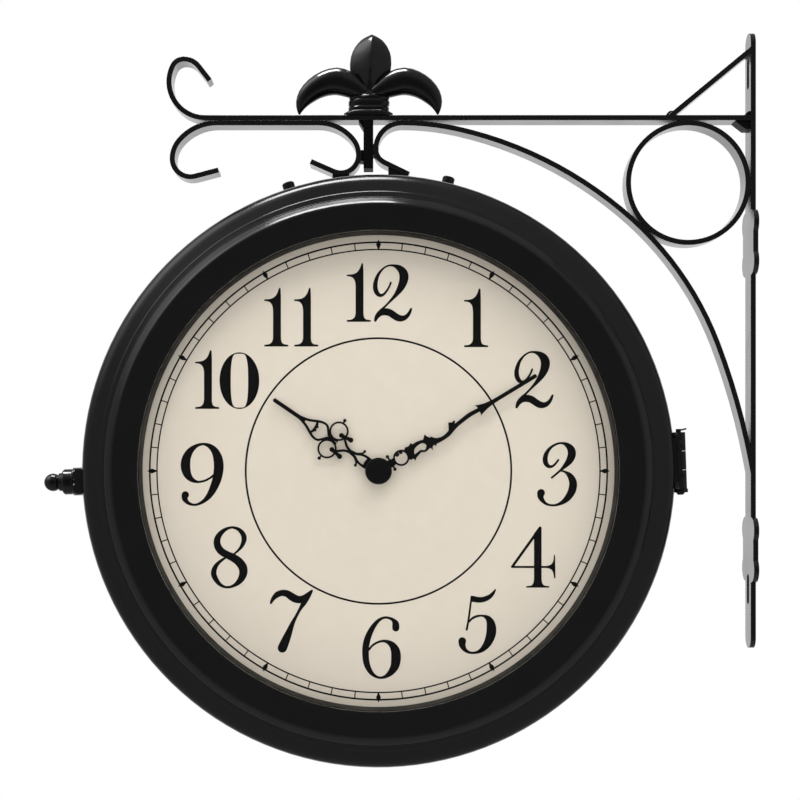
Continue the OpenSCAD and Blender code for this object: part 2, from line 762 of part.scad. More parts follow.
// Hinge: two knuckles on the drum's leaf, one on the door's leaf, and a pin with a head at each end
module knuckle(z0, z1, toward) {
    translate([hinge_x, hinge_y, z0]) cylinder(d = barrel_d, h = z1 - z0);
    translate([leaf_x, toward > 0 ? hinge_y : hinge_y - leaf_reach, z0])
        cube([leaf_t, leaf_reach, z1 - z0]);
}

module hinge_leaf(toward, spans, bore, screw_y) {
    neck = barrel_d / 2 + knuckle_gap;
    difference() {
        union() {
            for (s = spans) knuckle(s[0], s[1], toward);
            translate([leaf_x, toward > 0 ? hinge_y + neck : hinge_y - leaf_reach, -barrel_l / 2])
                cube([leaf_t, leaf_reach - neck, barrel_l]);
        }
        translate([hinge_x, hinge_y, -barrel_l]) cylinder(r = bore, h = 2 * barrel_l);
        for (s = [-1, 1]) along_x(leaf_x - cut, leaf_x + leaf_t + cut, screw_y, s * screw_z, hole_r);
    }
}

module hinge_fixed_leaf() {
    end = barrel_l / 2;
    color(black) in_housing()
        hinge_leaf(1, [[-end, knuckle_l - end], [end - knuckle_l, end]], pin_d / 2 + pin_fit,
                   fixed_screw_y);
}

module hinge_door_leaf() {
    color(black) in_housing()
        hinge_leaf(-1, [[-knuckle_l / 2, knuckle_l / 2]], pin_d / 2 + run_fit, door_screw_y);
}

// The pin has a bent tail on top and a collar with a small foot below
module hinge_pin() {
    end = barrel_l / 2;
    color(black) in_housing() translate([hinge_x, hinge_y, 0]) {
        translate([0, 0, -end - 1]) cylinder(d = pin_d, h = barrel_l + pin_stub + 1);
        translate([0, 0, end + pin_stub / 2]) rotate([0, 78, 0]) cylinder(d = pin_tail_d, h = pin_tail_l);
        translate([0, 0, -end - seat_gap - collar_t]) cylinder(d = barrel_d * 1.12, h = collar_t);
        translate([0, 0, -end - collar_t - pin_foot])
            cylinder(d1 = barrel_d * 0.4, d2 = barrel_d * 0.7, h = pin_foot);
    }
}

door_screw_l = leaf_x + leaf_t - skirt_in + 1;
hinge_screw_l = leaf_x + leaf_t - drum_in + 1;
latch_screw_l = plate_x + leaf_t - skirt_in + 1;

module hinge_screws() {
    color(steel) in_housing() for (s = [-1, 1])
        translate([leaf_x + leaf_t, fixed_screw_y, s * screw_z]) rotate([0, 90, 0])
            screw(hinge_screw_l);
}

module door_screws() {
    color(steel) in_housing() for (s = [-1, 1]) {
        translate([leaf_x + leaf_t, door_screw_y, s * screw_z]) rotate([0, 90, 0])
            screw(door_screw_l);
        translate([-plate_x - leaf_t, door_screw_y, s * latch_screw_z]) rotate([0, -90, 0])
            screw(latch_screw_l);
    }
}

// Latch: a plate on the door with a slot open to the rear, and a turned knob that clamps it to a bush
module latch_plate() {
    slot_r = spindle_d / 2 + latch_gap;
    x0 = -plate_x - leaf_t - cut;
    x1 = cut - plate_x;
    slot_end = -2;
    color(black) in_housing() difference() {
        translate([-plate_x - leaf_t, hinge_y - leaf_reach + 1, -plate_half])
            cube([leaf_t, leaf_reach - 1 - hinge_y + prong_y, 2 * plate_half]);
        along_x(x0, x1, slot_end, 0, slot_r);
        translate([x0, slot_end, -slot_r]) cube([x1 - x0, 2 * plate_half, 2 * slot_r]);
        for (s = [-1, 1]) along_x(x0, x1, door_screw_y, s * latch_screw_z, hole_r);
    }
}

module latch_bush() {
    color(black) in_housing() difference() {
        union() {
            difference() {
                along_x(-case_r - bush_proud, -drum_in, 0, 0, latch_bush_d / 2);
                rotate([90, 0, 0]) cylinder(r = drum_r, h = case_depth, center = true, $fn = 128);
            }
            along_x(1 - case_r - bush_proud, spigot_in - drum_in, 0, 0, spigot_d / 2);
        }
        along_x(-case_r - bush_proud - cut, spigot_in - drum_in + cut, 0, 0, spindle_d / 2 + run_fit);
    }
}

// Knob: a spindle, then a flange, a barrel, a collar and a ball, with an outline of [radius, height] points
module latch_knob() {
    flange_x = plate_x + leaf_t + latch_gap;
    flange_r = knob_flange_d / 2;
    ball_r = knob_ball_d / 2;
    ball_h = 15.6 + ball_r * 0.63;
    color(black) in_housing() rotate([0, -90, 0]) rotate_extrude() union() {
        translate([0, drum_in - spindle_in]) square([spindle_d / 2, flange_x - drum_in + spindle_in + 1]);
        translate([0, flange_x]) polygon([[0, 0], [flange_r, 0], [flange_r, 5.2], [flange_r - 0.5, 5.8],
            [flange_r - 0.8, 5.9], [flange_r - 0.8, 11.3], [flange_r - 1.5, 12.3], [flange_r - 3.1, 12.8],
            [ball_r, 15], [ball_r * 0.74, 15.7], [0, 15.7]]);
        intersection() {
            translate([0, flange_x + ball_h]) circle(ball_r);
            translate([0, flange_x]) square([knob_flange_d, 3 * knob_flange_d]);
        }
    }
}

// Bezel: the outer contour and, inside it, the same steps drawn in by the wall
shoulder_drop = 3;
fillet_r = 1.6;
shoulder_c = [case_r - shoulder_r, face_h - ovolo_rise - shoulder_r - shoulder_drop];
fillet_c = [shoulder_c[0] - 1.9, face_h - ovolo_rise - fillet_r];
ovolo_c = [fillet_c[0] - land_w - ovolo_r, face_h - ovolo_r];
shoulder_sweep = 75;

function arc(c, r, a0, a1, n) =
    [for (i = [0:n]) let (a = a0 + (a1 - a0) * i / n) c + r * [cos(a), sin(a)]];

function bezel_contour() = concat(
    [[case_r, drum_half]],
    arc(shoulder_c, shoulder_r, 0, shoulder_sweep, 8),
    arc(fillet_c, fillet_r, 0, 90, 4),
    [[ovolo_c[0] + ovolo_r, face_h - ovolo_rise]],
    arc(ovolo_c, ovolo_r, 0, 90, 7),
    [[ovolo_c[0] - 0.6, face_h - 0.3], [opening_r + 0.8, lip_h], [opening_r, lip_h - 0.6],
     [opening_r, seat_h], [cup_r, seat_h], [cup_r, back_h], [cup_r + shell_wall, back_h],
     [cup_r + shell_wall, lip_h - shell_wall]],
    arc(ovolo_c, ovolo_r - shell_wall, 90, 0, 4),
    [[ovolo_c[0] + ovolo_r - shell_wall, face_h - ovolo_rise - shell_wall],
     [fillet_c[0], fillet_c[1] - 0.6]],
    arc(shoulder_c, shoulder_r - shell_wall, shoulder_sweep, 0, 5),
    [[skirt_in, drum_half]]);

ring_screw_d = 2.7;
ring_screw_l = 10;
ring_head_r = 2.7;
ring_head_t = 1.6;
ring_screw_places = [for (i = [0:ring_screws - 1]) 30 + 360 * i / ring_screws];

// Rear bezels turn with the housing too, so both are built in the housing's frame
module in_housing_facing(rear) {
    in_housing() rotate([0, 0, rear ? 180 : 0]) rotate([90, 0, 0]) children();
}

module bezel_ring() {
    post_foot = back_h + 0.3;
    post_top = lip_h - shell_wall + 0.5;
    difference() {
        union() {
            rotate_extrude($fn = 128) polygon(bezel_contour());
            for (a = ring_screw_places) rotate(a) translate([post_r, 0, post_foot])
                cylinder(r = screw_post_r, h = post_top - post_foot);
        }
        for (a = ring_screw_places) rotate(a) translate([post_r, 0, back_h - cut])
            cylinder(d = ring_screw_d + 2 * screw_fit, h = ring_screw_l + cut);
    }
}

// The front bezel is the door, with flats for the hinge leaf and the latch plate
module front_bezel() {
    pad_y = hinge_y - leaf_reach + 1;
    pad_w = leaf_reach - 3;
    color(black) in_housing() difference() {
        union() {
            rotate([90, 0, 0]) bezel_ring();
            difference() {
                union() {
                    translate([skirt_in, pad_y, -pad_z]) cube([leaf_x - skirt_in, pad_w, 2 * pad_z]);
                    translate([-plate_x, pad_y, -plate_half])
                        cube([plate_x - skirt_in + 1, pad_w, 2 * plate_half]);
                }
                rotate([90, 0, 0])
                    cylinder(r = case_r - shell_wall / 2, h = case_depth, center = true);
            }
        }
        for (s = [-1, 1]) along_x(skirt_in - cut, leaf_x + cut, door_screw_y, s * screw_z, hole_r);
        for (s = [-1, 1]) along_x(-plate_x - cut, cut - skirt_in, door_screw_y, s * latch_screw_z, hole_r);
    }
}

module rear_bezel() {
    color(black) in_housing() difference() {
        rotate([0, 0, 180]) rotate([90, 0, 0]) bezel_ring();
        for (a = bezel_screw_angles) rotate([0, a, 0]) translate([0, bezel_screw_y, skirt_in - cut])
            cylinder(r = hole_r, h = wall_hole_l);
    }
}

// Parts of each dial, built along the dial's axis

module disc(r_out, r_in, h0, h1) {
    translate([0, 0, h0]) difference() {
        cylinder(r = r_out, h = h1 - h0, $fn = 128);
        if (r_in > 0) translate([0, 0, -cut]) cylinder(r = r_in, h = h1 - h0 + 2 * cut, $fn = 128);
    }
}

module gasket(rear) {
    color("#2a2a2a") facing(rear) disc(glass_r, opening_r + 0.4, glass_h, seat_h);
}

module glass(rear) {
    color([0.85, 0.92, 0.95, 0.3]) facing(rear) disc(glass_r, 0, spacer_h, glass_h);
}

// The spacer keeps the glass off the hands: a tube with a flange under the glass
spacer_t = 2;

module spacer(rear) {
    color(black) facing(rear) rotate_extrude($fn = 128)
        polygon([[opening_r, dial_h], [opening_r + spacer_t, dial_h],
                 [opening_r + spacer_t, spacer_h - spacer_t], [glass_r, spacer_h - spacer_t],
                 [glass_r, spacer_h], [opening_r, spacer_h]]);
}

module dial(rear) {
    color(cream) facing(rear) disc(glass_r, bush_d / 2 + 0.2, back_h, dial_h);
}

module dial_ring(rear) {
    color(steel) in_housing_facing(rear) difference() {
        disc(ring_r, opening_r - 3, ring_h, back_h);
        for (a = ring_screw_places) rotate(a) translate([post_r, 0, ring_h - cut])
            cylinder(d = ring_screw_d + 0.5, h = ring_t + 2 * cut);
    }
}

module ring_screws_set(rear) {
    color(steel) in_housing_facing(rear) for (a = ring_screw_places) rotate(a) {
        translate([post_r, 0, ring_h - ring_head_t]) cylinder(r = ring_head_r, h = ring_head_t);
        translate([post_r, 0, ring_h - eps]) cylinder(d = ring_screw_d, h = ring_screw_l);
    }
}

// Movement: a moulded box with a threaded bush, an open battery bay and a well for the set wheel
battery_gap = 0.3;
bay_l = battery_l + 4 * battery_gap;
bay_w = battery_d + 2 * battery_gap;
bay_y = -movement_w / 2 + bay_w / 2 + 3.5;
set_x = 12;
set_y = 12;
set_well_t = set_t - 1;
set_gap = 0.3;
stub_d = 3;
stub_l = 4.5;
pipe_seat = 5;
arbor_seat = 3;
end_play = 0.2;

module rounded_square(w, r) {
    square([w - 2 * r, w], center = true);
    square([w, w - 2 * r], center = true);
    for (sx = [-1, 1], sy = [-1, 1]) dot(sx * (w / 2 - r), sy * (w / 2 - r), r);
}

module movement(rear) {
    color("#242426") facing(rear) difference() {
        union() {
            translate([0, 0, movement_h]) linear_extrude(movement_t) rounded_square(movement_w, 4);
            translate([0, 0, back_h - 1]) cylinder(d = bush_d, h = dial_t + bush_h + 1);
        }
        translate([-bay_l / 2, bay_y - bay_w / 2, movement_h - cut]) cube([bay_l, bay_w, bay_w + cut]);
        translate([set_x, set_y, movement_h - cut])
            cylinder(d = set_d + 5 * set_gap, h = set_well_t + cut);
        translate([set_x, set_y, movement_h])
            cylinder(d = stub_d + 2 * run_fit, h = set_well_t + stub_l + end_play);
        translate([0, 0, movement_h + pipe_seat]) cylinder(r = pipe_d / 2 + run_fit, h = case_depth);
        translate([0, 0, movement_h + arbor_seat]) cylinder(r = arbor_d / 2 + run_fit, h = pipe_seat);
    }
}

module battery(rear) {
    nub = 1.2;
    color("#4a5a50") facing(rear)
        translate([-battery_l / 2, bay_y, movement_h + battery_gap + battery_d / 2]) rotate([0, 90, 0]) {
            cylinder(d = battery_d, h = battery_l - nub);
            translate([0, 0, battery_l - nub - eps]) cylinder(d = 5.5, h = nub + eps);
        }
}

// The flanged nut clamps the dial plate to the movement
module fixing_nut(rear) {
    flange_t = 0.8;
    color(brass) facing(rear) difference() {
        translate([0, 0, dial_h]) {
            cylinder(d = 2.1 * bush_d, h = flange_t);
            cylinder(d = 1.75 * bush_d, h = nut_t, $fn = 6);
        }
        translate([0, 0, dial_h - cut]) cylinder(d = bush_d + 2 * screw_fit, h = nut_t + 2 * cut);
    }
}

module hour_pipe(rear) {
    foot = movement_h + pipe_seat + end_play;
    top = hour_hand_h + hand_t + end_play;
    color(brass) facing(rear) translate([0, 0, foot]) difference() {
        cylinder(d = pipe_d, h = top - foot);
        translate([0, 0, -cut]) cylinder(r = arbor_d / 2 + run_fit, h = top - foot + 2 * cut);
    }
}

module minute_arbor(rear) {
    foot = movement_h + arbor_seat + end_play;
    color(brass) facing(rear) translate([0, 0, foot])
        cylinder(d = arbor_d, h = minute_hand_h + hand_t - foot);
}

// Hands, drawn pointing up and then scaled to their length from these drawn lengths
minute_units = 185;
hour_units = 127;

module open_ring(x, y, r, stroke) {
    translate([x, y]) difference() {
        circle(r);
        circle(r - stroke);
    }
}

module minute_outline() {
    circle(12);
    // neck with its crossbar and the ring above it
    band([[0, 5, 4.6], [0, 12, 4.2], [0, 17, 3.6], [0.2, 20, 3.4]]);
    band([[-7.6, 15, 1.1], [-4, 15.2, 0.9], [4, 15.2, 0.9], [7, 15, 1.1]], 2);
    dot(-7.6, 15, 1.7);
    dot(7, 15, 1.7);
    open_ring(0.5, 26.3, 8.2, 2);
    dot(-4.6, 28.7, 2);
    dot(-4.4, 24.4, 2.2);
    // leaf that carries the kidney opening
    difference() {
        polygon([[4.6, 32], [7.6, 33.4], [7.4, 36.2], [10.3, 37], [8.3, 39.4], [7.4, 42.4], [6.1, 46.4],
                 [7.2, 48], [8.2, 50.6], [7.6, 53.6], [7, 56.4], [10.4, 57.4], [7.2, 59], [6.4, 61],
                 [8.7, 62.4], [6.6, 64], [6.6, 66], [2, 65], [-0.4, 62.6], [-4.4, 59.4], [-7.6, 58.3],
                 [-5.2, 56], [-3.6, 54], [-4.6, 52], [-5.4, 47.5], [-5.2, 43], [-7.4, 41.8], [-6, 39.6],
                 [-5.6, 37], [-6.6, 35.5], [-5, 33]]);
        band([[4.3, 39.8, 0.3], [2.4, 42.4, 2], [1.2, 46, 2.5], [1.6, 50, 3.1], [2.9, 52.2, 2.6],
              [4.2, 53.2, 0.8]]);
        dot(3.6, 50.6, 2.3);
    }
    // swan neck up to the arrow, with its thorn
    band([[1.6, 60, 5], [3.9, 64.5, 3.1], [5.1, 69, 2.3], [5.3, 74, 2], [4.5, 79.5, 2.2], [2.4, 85, 2.4],
          [1, 91, 2.1], [0.1, 98, 2.1], [-0.8, 105, 2.2], [-0.8, 111, 2.1], [-0.3, 118, 2]]);
    polygon([[2, 90], [-1.5, 90.2], [-2.8, 91.4], [-4.4, 90.6], [-3.6, 88.2], [-5.3, 84.8],
             [-0.4, 82.2], [3, 80]]);
    // arrow and pointer
    polygon([[-6.2, 116.3], [-4, 117.4], [4, 117.4], [5.8, 116.3], [4.2, 121], [3, 126], [2.2, 132.5],
             [2, 140], [2, 183.5], [1.2, 184.8], [-1.2, 184.8], [-2, 183.5], [-2, 140], [-2.2, 132.5],
             [-3, 126], [-4.4, 121]]);
}

// One side of the hour hand, to the right for s = 1 and to the left for s = -1
module hour_side(s) {
    // drop shaped loop over the hub, with its thorn
    band(mirrored(s, [[3.6, 8, 1.8], [4.6, 14, 1.5], [4.9, 19, 1.2], [3.5, 24, 1.2], [1.6, 28, 1.4],
                      [1, 33, 1.3]]));
    band(mirrored(s, [[1.6, 28.4, 1.2], [3.8, 25, 1.1], [6, 22.8, 1], [8.2, 22.4, 1]]), 2);
    dot(s * 8.4, 22.3, 1.4);
    // stem and its fork
    band(mirrored(s, [[0.9, 30, 1.4], [0.9, 35, 1.3], [2.2, 39.4, 1.3], [5.2, 43.4, 1.2], [8, 47, 1.2]]));
    // side ring with its outer ball and inner bulb
    open_ring(s * 10.6, 55, 9.7, 1.9);
    band(mirrored(s, [[19.4, 55.8, 0.8], [22.4, 56.2, 0.8]]), 1);
    dot(s * 22.7, 56.2, 1.7);
    band(mirrored(s, [[8.5, 50.4, 2.2], [9.1, 45.4, 1.7], [9.9, 40.4, 2.2]]));
    dot(s * 8.5, 50.6, 2.4);
    dot(s * 9.9, 40.2, 2.5);
    // heart frame
    band(mirrored(s, [[1.2, 50, 0.8], [0.9, 56, 1.1], [1.3, 60.6, 1.3], [5.4, 64.4, 1.2], [8.7, 68, 1.2],
                      [8.8, 73, 1.2], [6.6, 78.6, 1.3], [3.7, 84.4, 1.3], [1.9, 89.6, 1.3], [0.9, 95, 1.2]]));
    band(mirrored(s, [[7, 79, 1], [4.2, 76.9, 1.3], [-0.5, 76.5, 1.3]]), 2);
    dot(s * 1.9, 75.6, 1.6);
}

module hour_outline() {
    circle(11);
    polygon([[4.8, 8], [5.4, 15.6], [3.4, 16.2], [0, 16.8], [-3.4, 16.2], [-5.4, 15.6], [-4.8, 8]]);
    for (s = [-1, 1]) hour_side(s);
    // pointer
    polygon([[2, 88.6], [2.3, 92], [2, 98], [2, 125.6], [1.2, 127], [-1.2, 127], [-2, 125.6], [-2, 98],
             [-2.3, 92], [-2, 88.6]]);
}

module hour_hand(rear) {
    color("#161616") facing(rear) translate([0, 0, hour_hand_h]) rotate([0, 0, -hour_angle])
        linear_extrude(hand_t) difference() {
            scale(hour_len / hour_units) hour_outline();
            circle(d = pipe_d);
        }
}

module minute_hand(rear) {
    color("#161616") facing(rear) translate([0, 0, minute_hand_h]) rotate([0, 0, -minute_angle])
        linear_extrude(hand_t) difference() {
            scale(minute_len / minute_units) minute_outline();
            circle(d = arbor_d);
        }
}

module hand_cap(rear) {
    r = cap_d / 2;
    color("#161616") facing(rear) translate([0, 0, minute_hand_h + hand_t]) rotate_extrude()
        polygon([[0, 0], [r, 0], [r, cap_t * 0.55], [r - 0.5, cap_t * 0.85], [r - 1.4, cap_t],
                 [0, cap_t + 0.2]]);
}

// Set wheel with a milled rim and a stub that turns in the movement
set_teeth = 18;

set_notch_r = 0.5;

module set_wheel(rear) {
    color("#8a8a88") facing(rear) translate([set_x, set_y, movement_h + set_well_t - set_gap]) {
        difference() {
            translate([0, 0, -set_t]) cylinder(d = set_d, h = set_t);
            for (i = [0:set_teeth - 1]) rotate(360 * i / set_teeth) translate([set_d / 2, 0, -set_t - cut])
                cylinder(r = set_notch_r, h = set_t + 2 * cut, $fn = 24);
        }
        translate([0, 0, -set_t / 2]) cylinder(d = stub_d, h = stub_l + set_t / 2);
    }
}

module front_gasket() { gasket(false); }
module front_glass() { glass(false); }
module front_spacer() { spacer(false); }
module front_dial() { dial(false); }
module front_dial_ring() { dial_ring(false); }
module front_ring_screws() { ring_screws_set(false); }
module front_movement() { movement(false); }
module front_battery() { battery(false); }
module front_fixing_nut() { fixing_nut(false); }
module front_hour_pipe() { hour_pipe(false); }
module front_hour_hand() { hour_hand(false); }
module front_minute_arbor() { minute_arbor(false); }
module front_minute_hand() { minute_hand(false); }
module front_hand_cap() { hand_cap(false); }
module front_set_wheel() { set_wheel(false); }

module rear_gasket() { gasket(true); }
module rear_glass() { glass(true); }
module rear_spacer() { spacer(true); }
module rear_dial() { dial(true); }
module rear_dial_ring() { dial_ring(true); }
module rear_ring_screws() { ring_screws_set(true); }
module rear_movement() { movement(true); }
module rear_battery() { battery(true); }
module rear_fixing_nut() { fixing_nut(true); }
module rear_hour_pipe() { hour_pipe(true); }
module rear_hour_hand() { hour_hand(true); }
module rear_minute_arbor() { minute_arbor(true); }
module rear_minute_hand() { minute_hand(true); }
module rear_hand_cap() { hand_cap(true); }
module rear_set_wheel() { set_wheel(true); }

wall_strip();
top_rail();
lower_scroll();
arch_brace();
corner_ring();
diagonal_brace();
corner_gusset();
hanger_post();
weld_beads();
fleur_finial();
left_foot();
right_foot();
foot_screws();
top_studs();
stud_nuts();
case_drum();
hinge_fixed_leaf();
hinge_pin();
hinge_screws();
latch_bush();
latch_knob();
hinge_door_leaf();
latch_plate();
door_screws();
bezel_screws();
front_bezel();
front_gasket();
front_glass();
front_spacer();
front_dial();
front_dial_ring();
front_ring_screws();
front_movement();
front_battery();
front_fixing_nut();
front_hour_pipe();
front_hour_hand();
front_minute_arbor();
front_minute_hand();
front_hand_cap();
front_set_wheel();
rear_bezel();
rear_gasket();
rear_glass();
rear_spacer();
rear_dial();
rear_dial_ring();
rear_ring_screws();
rear_movement();
rear_battery();
rear_fixing_nut();
rear_hour_pipe();
rear_hour_hand();
rear_minute_arbor();
rear_minute_hand();
rear_hand_cap();
rear_set_wheel();
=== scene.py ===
"""Looks for the two-faced wall clock on its scrolled bracket."""

import json
import math

import bpy
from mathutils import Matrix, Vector
from mathutils.geometry import delaunay_2d_cdt


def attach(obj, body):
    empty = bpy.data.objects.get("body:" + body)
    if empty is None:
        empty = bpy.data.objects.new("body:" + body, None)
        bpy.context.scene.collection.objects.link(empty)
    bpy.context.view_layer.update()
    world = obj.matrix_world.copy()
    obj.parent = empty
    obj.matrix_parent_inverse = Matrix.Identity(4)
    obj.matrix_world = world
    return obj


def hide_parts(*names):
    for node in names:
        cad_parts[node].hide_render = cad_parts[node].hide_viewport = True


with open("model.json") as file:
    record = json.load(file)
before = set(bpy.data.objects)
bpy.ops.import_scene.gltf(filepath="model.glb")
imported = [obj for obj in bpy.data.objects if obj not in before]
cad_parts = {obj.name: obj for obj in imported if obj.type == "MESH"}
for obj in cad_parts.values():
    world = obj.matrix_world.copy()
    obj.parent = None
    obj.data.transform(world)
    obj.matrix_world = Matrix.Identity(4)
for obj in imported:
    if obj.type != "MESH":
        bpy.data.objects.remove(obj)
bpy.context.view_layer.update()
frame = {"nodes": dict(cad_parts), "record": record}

MM = 0.001
CLOCK = Vector((-0.249, 0.0, -0.0925))   # middle of the housing
PX = 0.6484                              # mm on the dial for one unit of the drawn figures
DIAL_H = 25.0                            # mm from the middle of the housing to the dial's face
INK_T = 0.06                             # thickness of the printed ink in mm


# Materials

def srgb(*rgb):
    """Linear colour for an sRGB colour given as 0 to 255."""
    def one(v):
        v /= 255
        return v / 12.92 if v <= 0.04045 else ((v + 0.055) / 1.055) ** 2.4
    return tuple(one(v) for v in rgb) + (1.0,)


def is_socket(value):
    return hasattr(value, "is_output")


def feed(links, socket, value):
    """Gives a socket a number or colour, or links it to another node's output."""
    if is_socket(value):
        links.new(value, socket)
    else:
        socket.default_value = value


class Tree:
    """Short names for building a material's nodes."""

    def __init__(self, name):
        self.mat = bpy.data.materials.new(name)
        self.mat.use_nodes = True
        self.nodes = self.mat.node_tree.nodes
        self.links = self.mat.node_tree.links
        self.shader = self.nodes["Principled BSDF"]
        self.place = self.add("ShaderNodeTexCoord").outputs["Object"]

    def add(self, kind, **values):
        node = self.nodes.new(kind)
        for key, value in values.items():
            setattr(node, key, value)
        return node

    def link(self, a, b):
        self.links.new(a, b)

    def noise(self, size_mm, detail=3.0, rough=0.5, stretch=None):
        """Noise whose features are about size_mm wide, with its value from 0 to 1."""
        node = self.add("ShaderNodeTexNoise")
        node.inputs["Scale"].default_value = 1 / (size_mm * MM)
        node.inputs["Detail"].default_value = detail
        node.inputs["Roughness"].default_value = rough
        source = self.place
        if stretch:
            mapping = self.add("ShaderNodeMapping")
            mapping.inputs["Scale"].default_value = stretch
            self.link(source, mapping.inputs["Vector"])
            source = mapping.outputs["Vector"]
        self.link(source, node.inputs["Vector"])
        return node.outputs["Fac"]

    def ramp(self, fac, low, high, a=0.3, b=0.7):
        """Value that goes from low to high as fac goes from a to b."""
        node = self.add("ShaderNodeMapRange")
        for key, value in (("From Min", a), ("From Max", b), ("To Min", low), ("To Max", high)):
            node.inputs[key].default_value = value
        self.link(fac, node.inputs["Value"])
        return node.outputs["Result"]

    def mix(self, fac, a, b):
        """Colour between a and b."""
        node = self.add("ShaderNodeMix", data_type="RGBA")
        feed(self.links, node.inputs[6], a)
        feed(self.links, node.inputs[7], b)
        self.link(fac, node.inputs[0])
        return node.outputs[2]

    def bump(self, height, depth_mm, under=None):
        node = self.add("ShaderNodeBump")
        node.inputs["Distance"].default_value = depth_mm * MM
        node.inputs["Strength"].default_value = 1.0
        self.link(height, node.inputs["Height"])
        if under is not None:
            self.link(under, node.inputs["Normal"])
        return node.outputs["Normal"]

    def set(self, **values):
        for key, value in values.items():
            feed(self.links, self.shader.inputs[key.replace("_", " ")], value)
        return self.mat


def enamel(name, dark, light, rough, peel_mm, peel_depth, dents=0.0, spec=0.25, coat=0.0):
    """Sprayed black enamel: orange peel, patches of slightly different gloss and fine dust."""
    t = Tree(name)
    patches = t.noise(28, 2)
    peel = t.noise(peel_mm, 2, 0.4)
    dust = t.noise(0.35, 2)
    normal = t.bump(peel, peel_depth)
    if dents:
        normal = t.bump(t.noise(14, 1.5), dents, under=normal)
    return t.set(Base_Color=t.mix(t.ramp(dust, 0, 1, 0.35, 0.75), dark, light),
                 Roughness=t.ramp(patches, rough - 0.05, rough + 0.06),
                 Specular_IOR_Level=spec, Coat_Weight=coat, Coat_Roughness=0.25,
                 Normal=normal)


BRACKET = enamel("bracket_enamel", srgb(3, 3, 4), srgb(6, 6, 7), 0.25, 1.6, 0.006,
                 dents=0.06, spec=0.5, coat=0.8)
# A duller, barely reflective copy of the bracket enamel: painted shade on the post, gusset and weld
# beads, which are the same black as the bracket
SHADED_COPY = enamel("shaded_copy_enamel", srgb(6, 6, 7), srgb(9, 9, 10), 0.45, 1.2, 0.012, spec=0.12)
GLOSSY = enamel("glossy_enamel", srgb(5, 5, 6), srgb(9, 9, 10), 0.16, 2.2, 0.006,
                dents=0.4, spec=0.6)
CASE = enamel("case_enamel", srgb(16, 16, 17), srgb(21, 21, 22), 0.17, 1.1, 0.010, spec=0.35)
HAND = enamel("hand_enamel", srgb(9, 9, 9), srgb(15, 15, 15), 0.42, 0.8, 0.006, spec=0.2)
INNER = enamel("inner_enamel", srgb(14, 14, 14), srgb(20, 20, 20), 0.5, 1.1, 0.008, spec=0.1)

# Distances from the dial's axis over which the cream turns to a painted shade near the rim, where
# the bezel's deep lip shades the dial
RIM_FROM, RIM_TO = 0.105, 0.158


def cream():
    """Printed cream dial: faint mottling of the enamel, and painted shade that makes it a little
    darker towards the rim, where the bezel's lip shades it.
    """
    t = Tree("dial_cream")
    apart = t.add("ShaderNodeVectorMath", operation="DISTANCE")
    flat = t.add("ShaderNodeVectorMath", operation="MULTIPLY")
    flat.inputs[1].default_value = (1, 0, 1)
    apart.inputs[1].default_value = (CLOCK.x, 0, CLOCK.z)
    t.link(t.place, flat.inputs[0])
    t.link(flat.outputs[0], apart.inputs[0])
    rim = t.ramp(apart.outputs["Value"], 0, 1, RIM_FROM, RIM_TO)
    mottle = t.ramp(t.noise(9, 4, 0.6), 0, 1)
    base = t.mix(mottle, srgb(226, 216, 198), srgb(230, 220, 204))
    # painted shade: the cream darkens towards the rim as if shaded by the bezel's lip
    painted_rim_shade = t.mix(rim, base, srgb(222, 212, 196))
    normal = t.bump(t.noise(0.9, 2, 0.5), 0.01)
    return t.set(Base_Color=painted_rim_shade, Roughness=t.ramp(t.noise(15, 2), 0.5, 0.62),
                 Specular_IOR_Level=0.3, Normal=normal)


def ink():
    """Flat black print with a fine grain."""
    t = Tree("figure_ink")
    grain = t.ramp(t.noise(0.5, 3), 0, 1, 0.35, 0.75)
    return t.set(Base_Color=t.mix(grain, srgb(9, 8, 8), srgb(20, 19, 19)),
                 Roughness=t.ramp(t.noise(3, 2), 0.45, 0.6), Specular_IOR_Level=0.15)


def pane():
    """Clear glass that lets the lamps through to the dial."""
    t = Tree("clear_glass")
    return t.set(Base_Color=(0.02, 0.022, 0.022, 1), Roughness=t.ramp(t.noise(30, 2), 0.02, 0.05),
                 Specular_IOR_Level=0.5, Alpha=0.04)


def metal(name, colour, worn, rough):
    """Bare metal, worn in patches, with fine marks drawn out along one direction."""
    t = Tree(name)
    marks = t.noise(0.6, 3, stretch=(1, 1, 12))
    return t.set(Base_Color=t.mix(t.ramp(t.noise(6, 3), 0, 1), colour, worn), Metallic=1.0,
                 Roughness=t.ramp(marks, rough - 0.06, rough + 0.08), Normal=t.bump(marks, 0.01))


def plastic(name, a, b, rough, spec=0.4):
    """Moulded plastic or rubber with a fine grain."""
    t = Tree(name)
    return t.set(Base_Color=t.mix(t.ramp(t.noise(5, 3), 0, 1), a, b),
                 Roughness=t.ramp(t.noise(2, 2), rough - 0.06, rough + 0.06),
                 Specular_IOR_Level=spec, Normal=t.bump(t.noise(0.5, 2), 0.015))


CREAM = cream()
INK = ink()
PANE = pane()
ZINC = metal("zinc_steel", srgb(176, 177, 178), srgb(140, 141, 143), 0.34)
BRASS = metal("turned_brass", srgb(196, 160, 92), srgb(160, 128, 72), 0.3)
RUBBER = plastic("gasket_rubber", srgb(24, 24, 24), srgb(32, 32, 32), 0.8, 0.2)
MOULDED = plastic("movement_plastic", srgb(26, 26, 28), srgb(36, 36, 38), 0.55)
WHEEL = plastic("set_wheel_plastic", srgb(138, 137, 132), srgb(152, 151, 146), 0.5)
SLEEVE = plastic("battery_sleeve", srgb(62, 84, 70), srgb(74, 96, 82), 0.3)

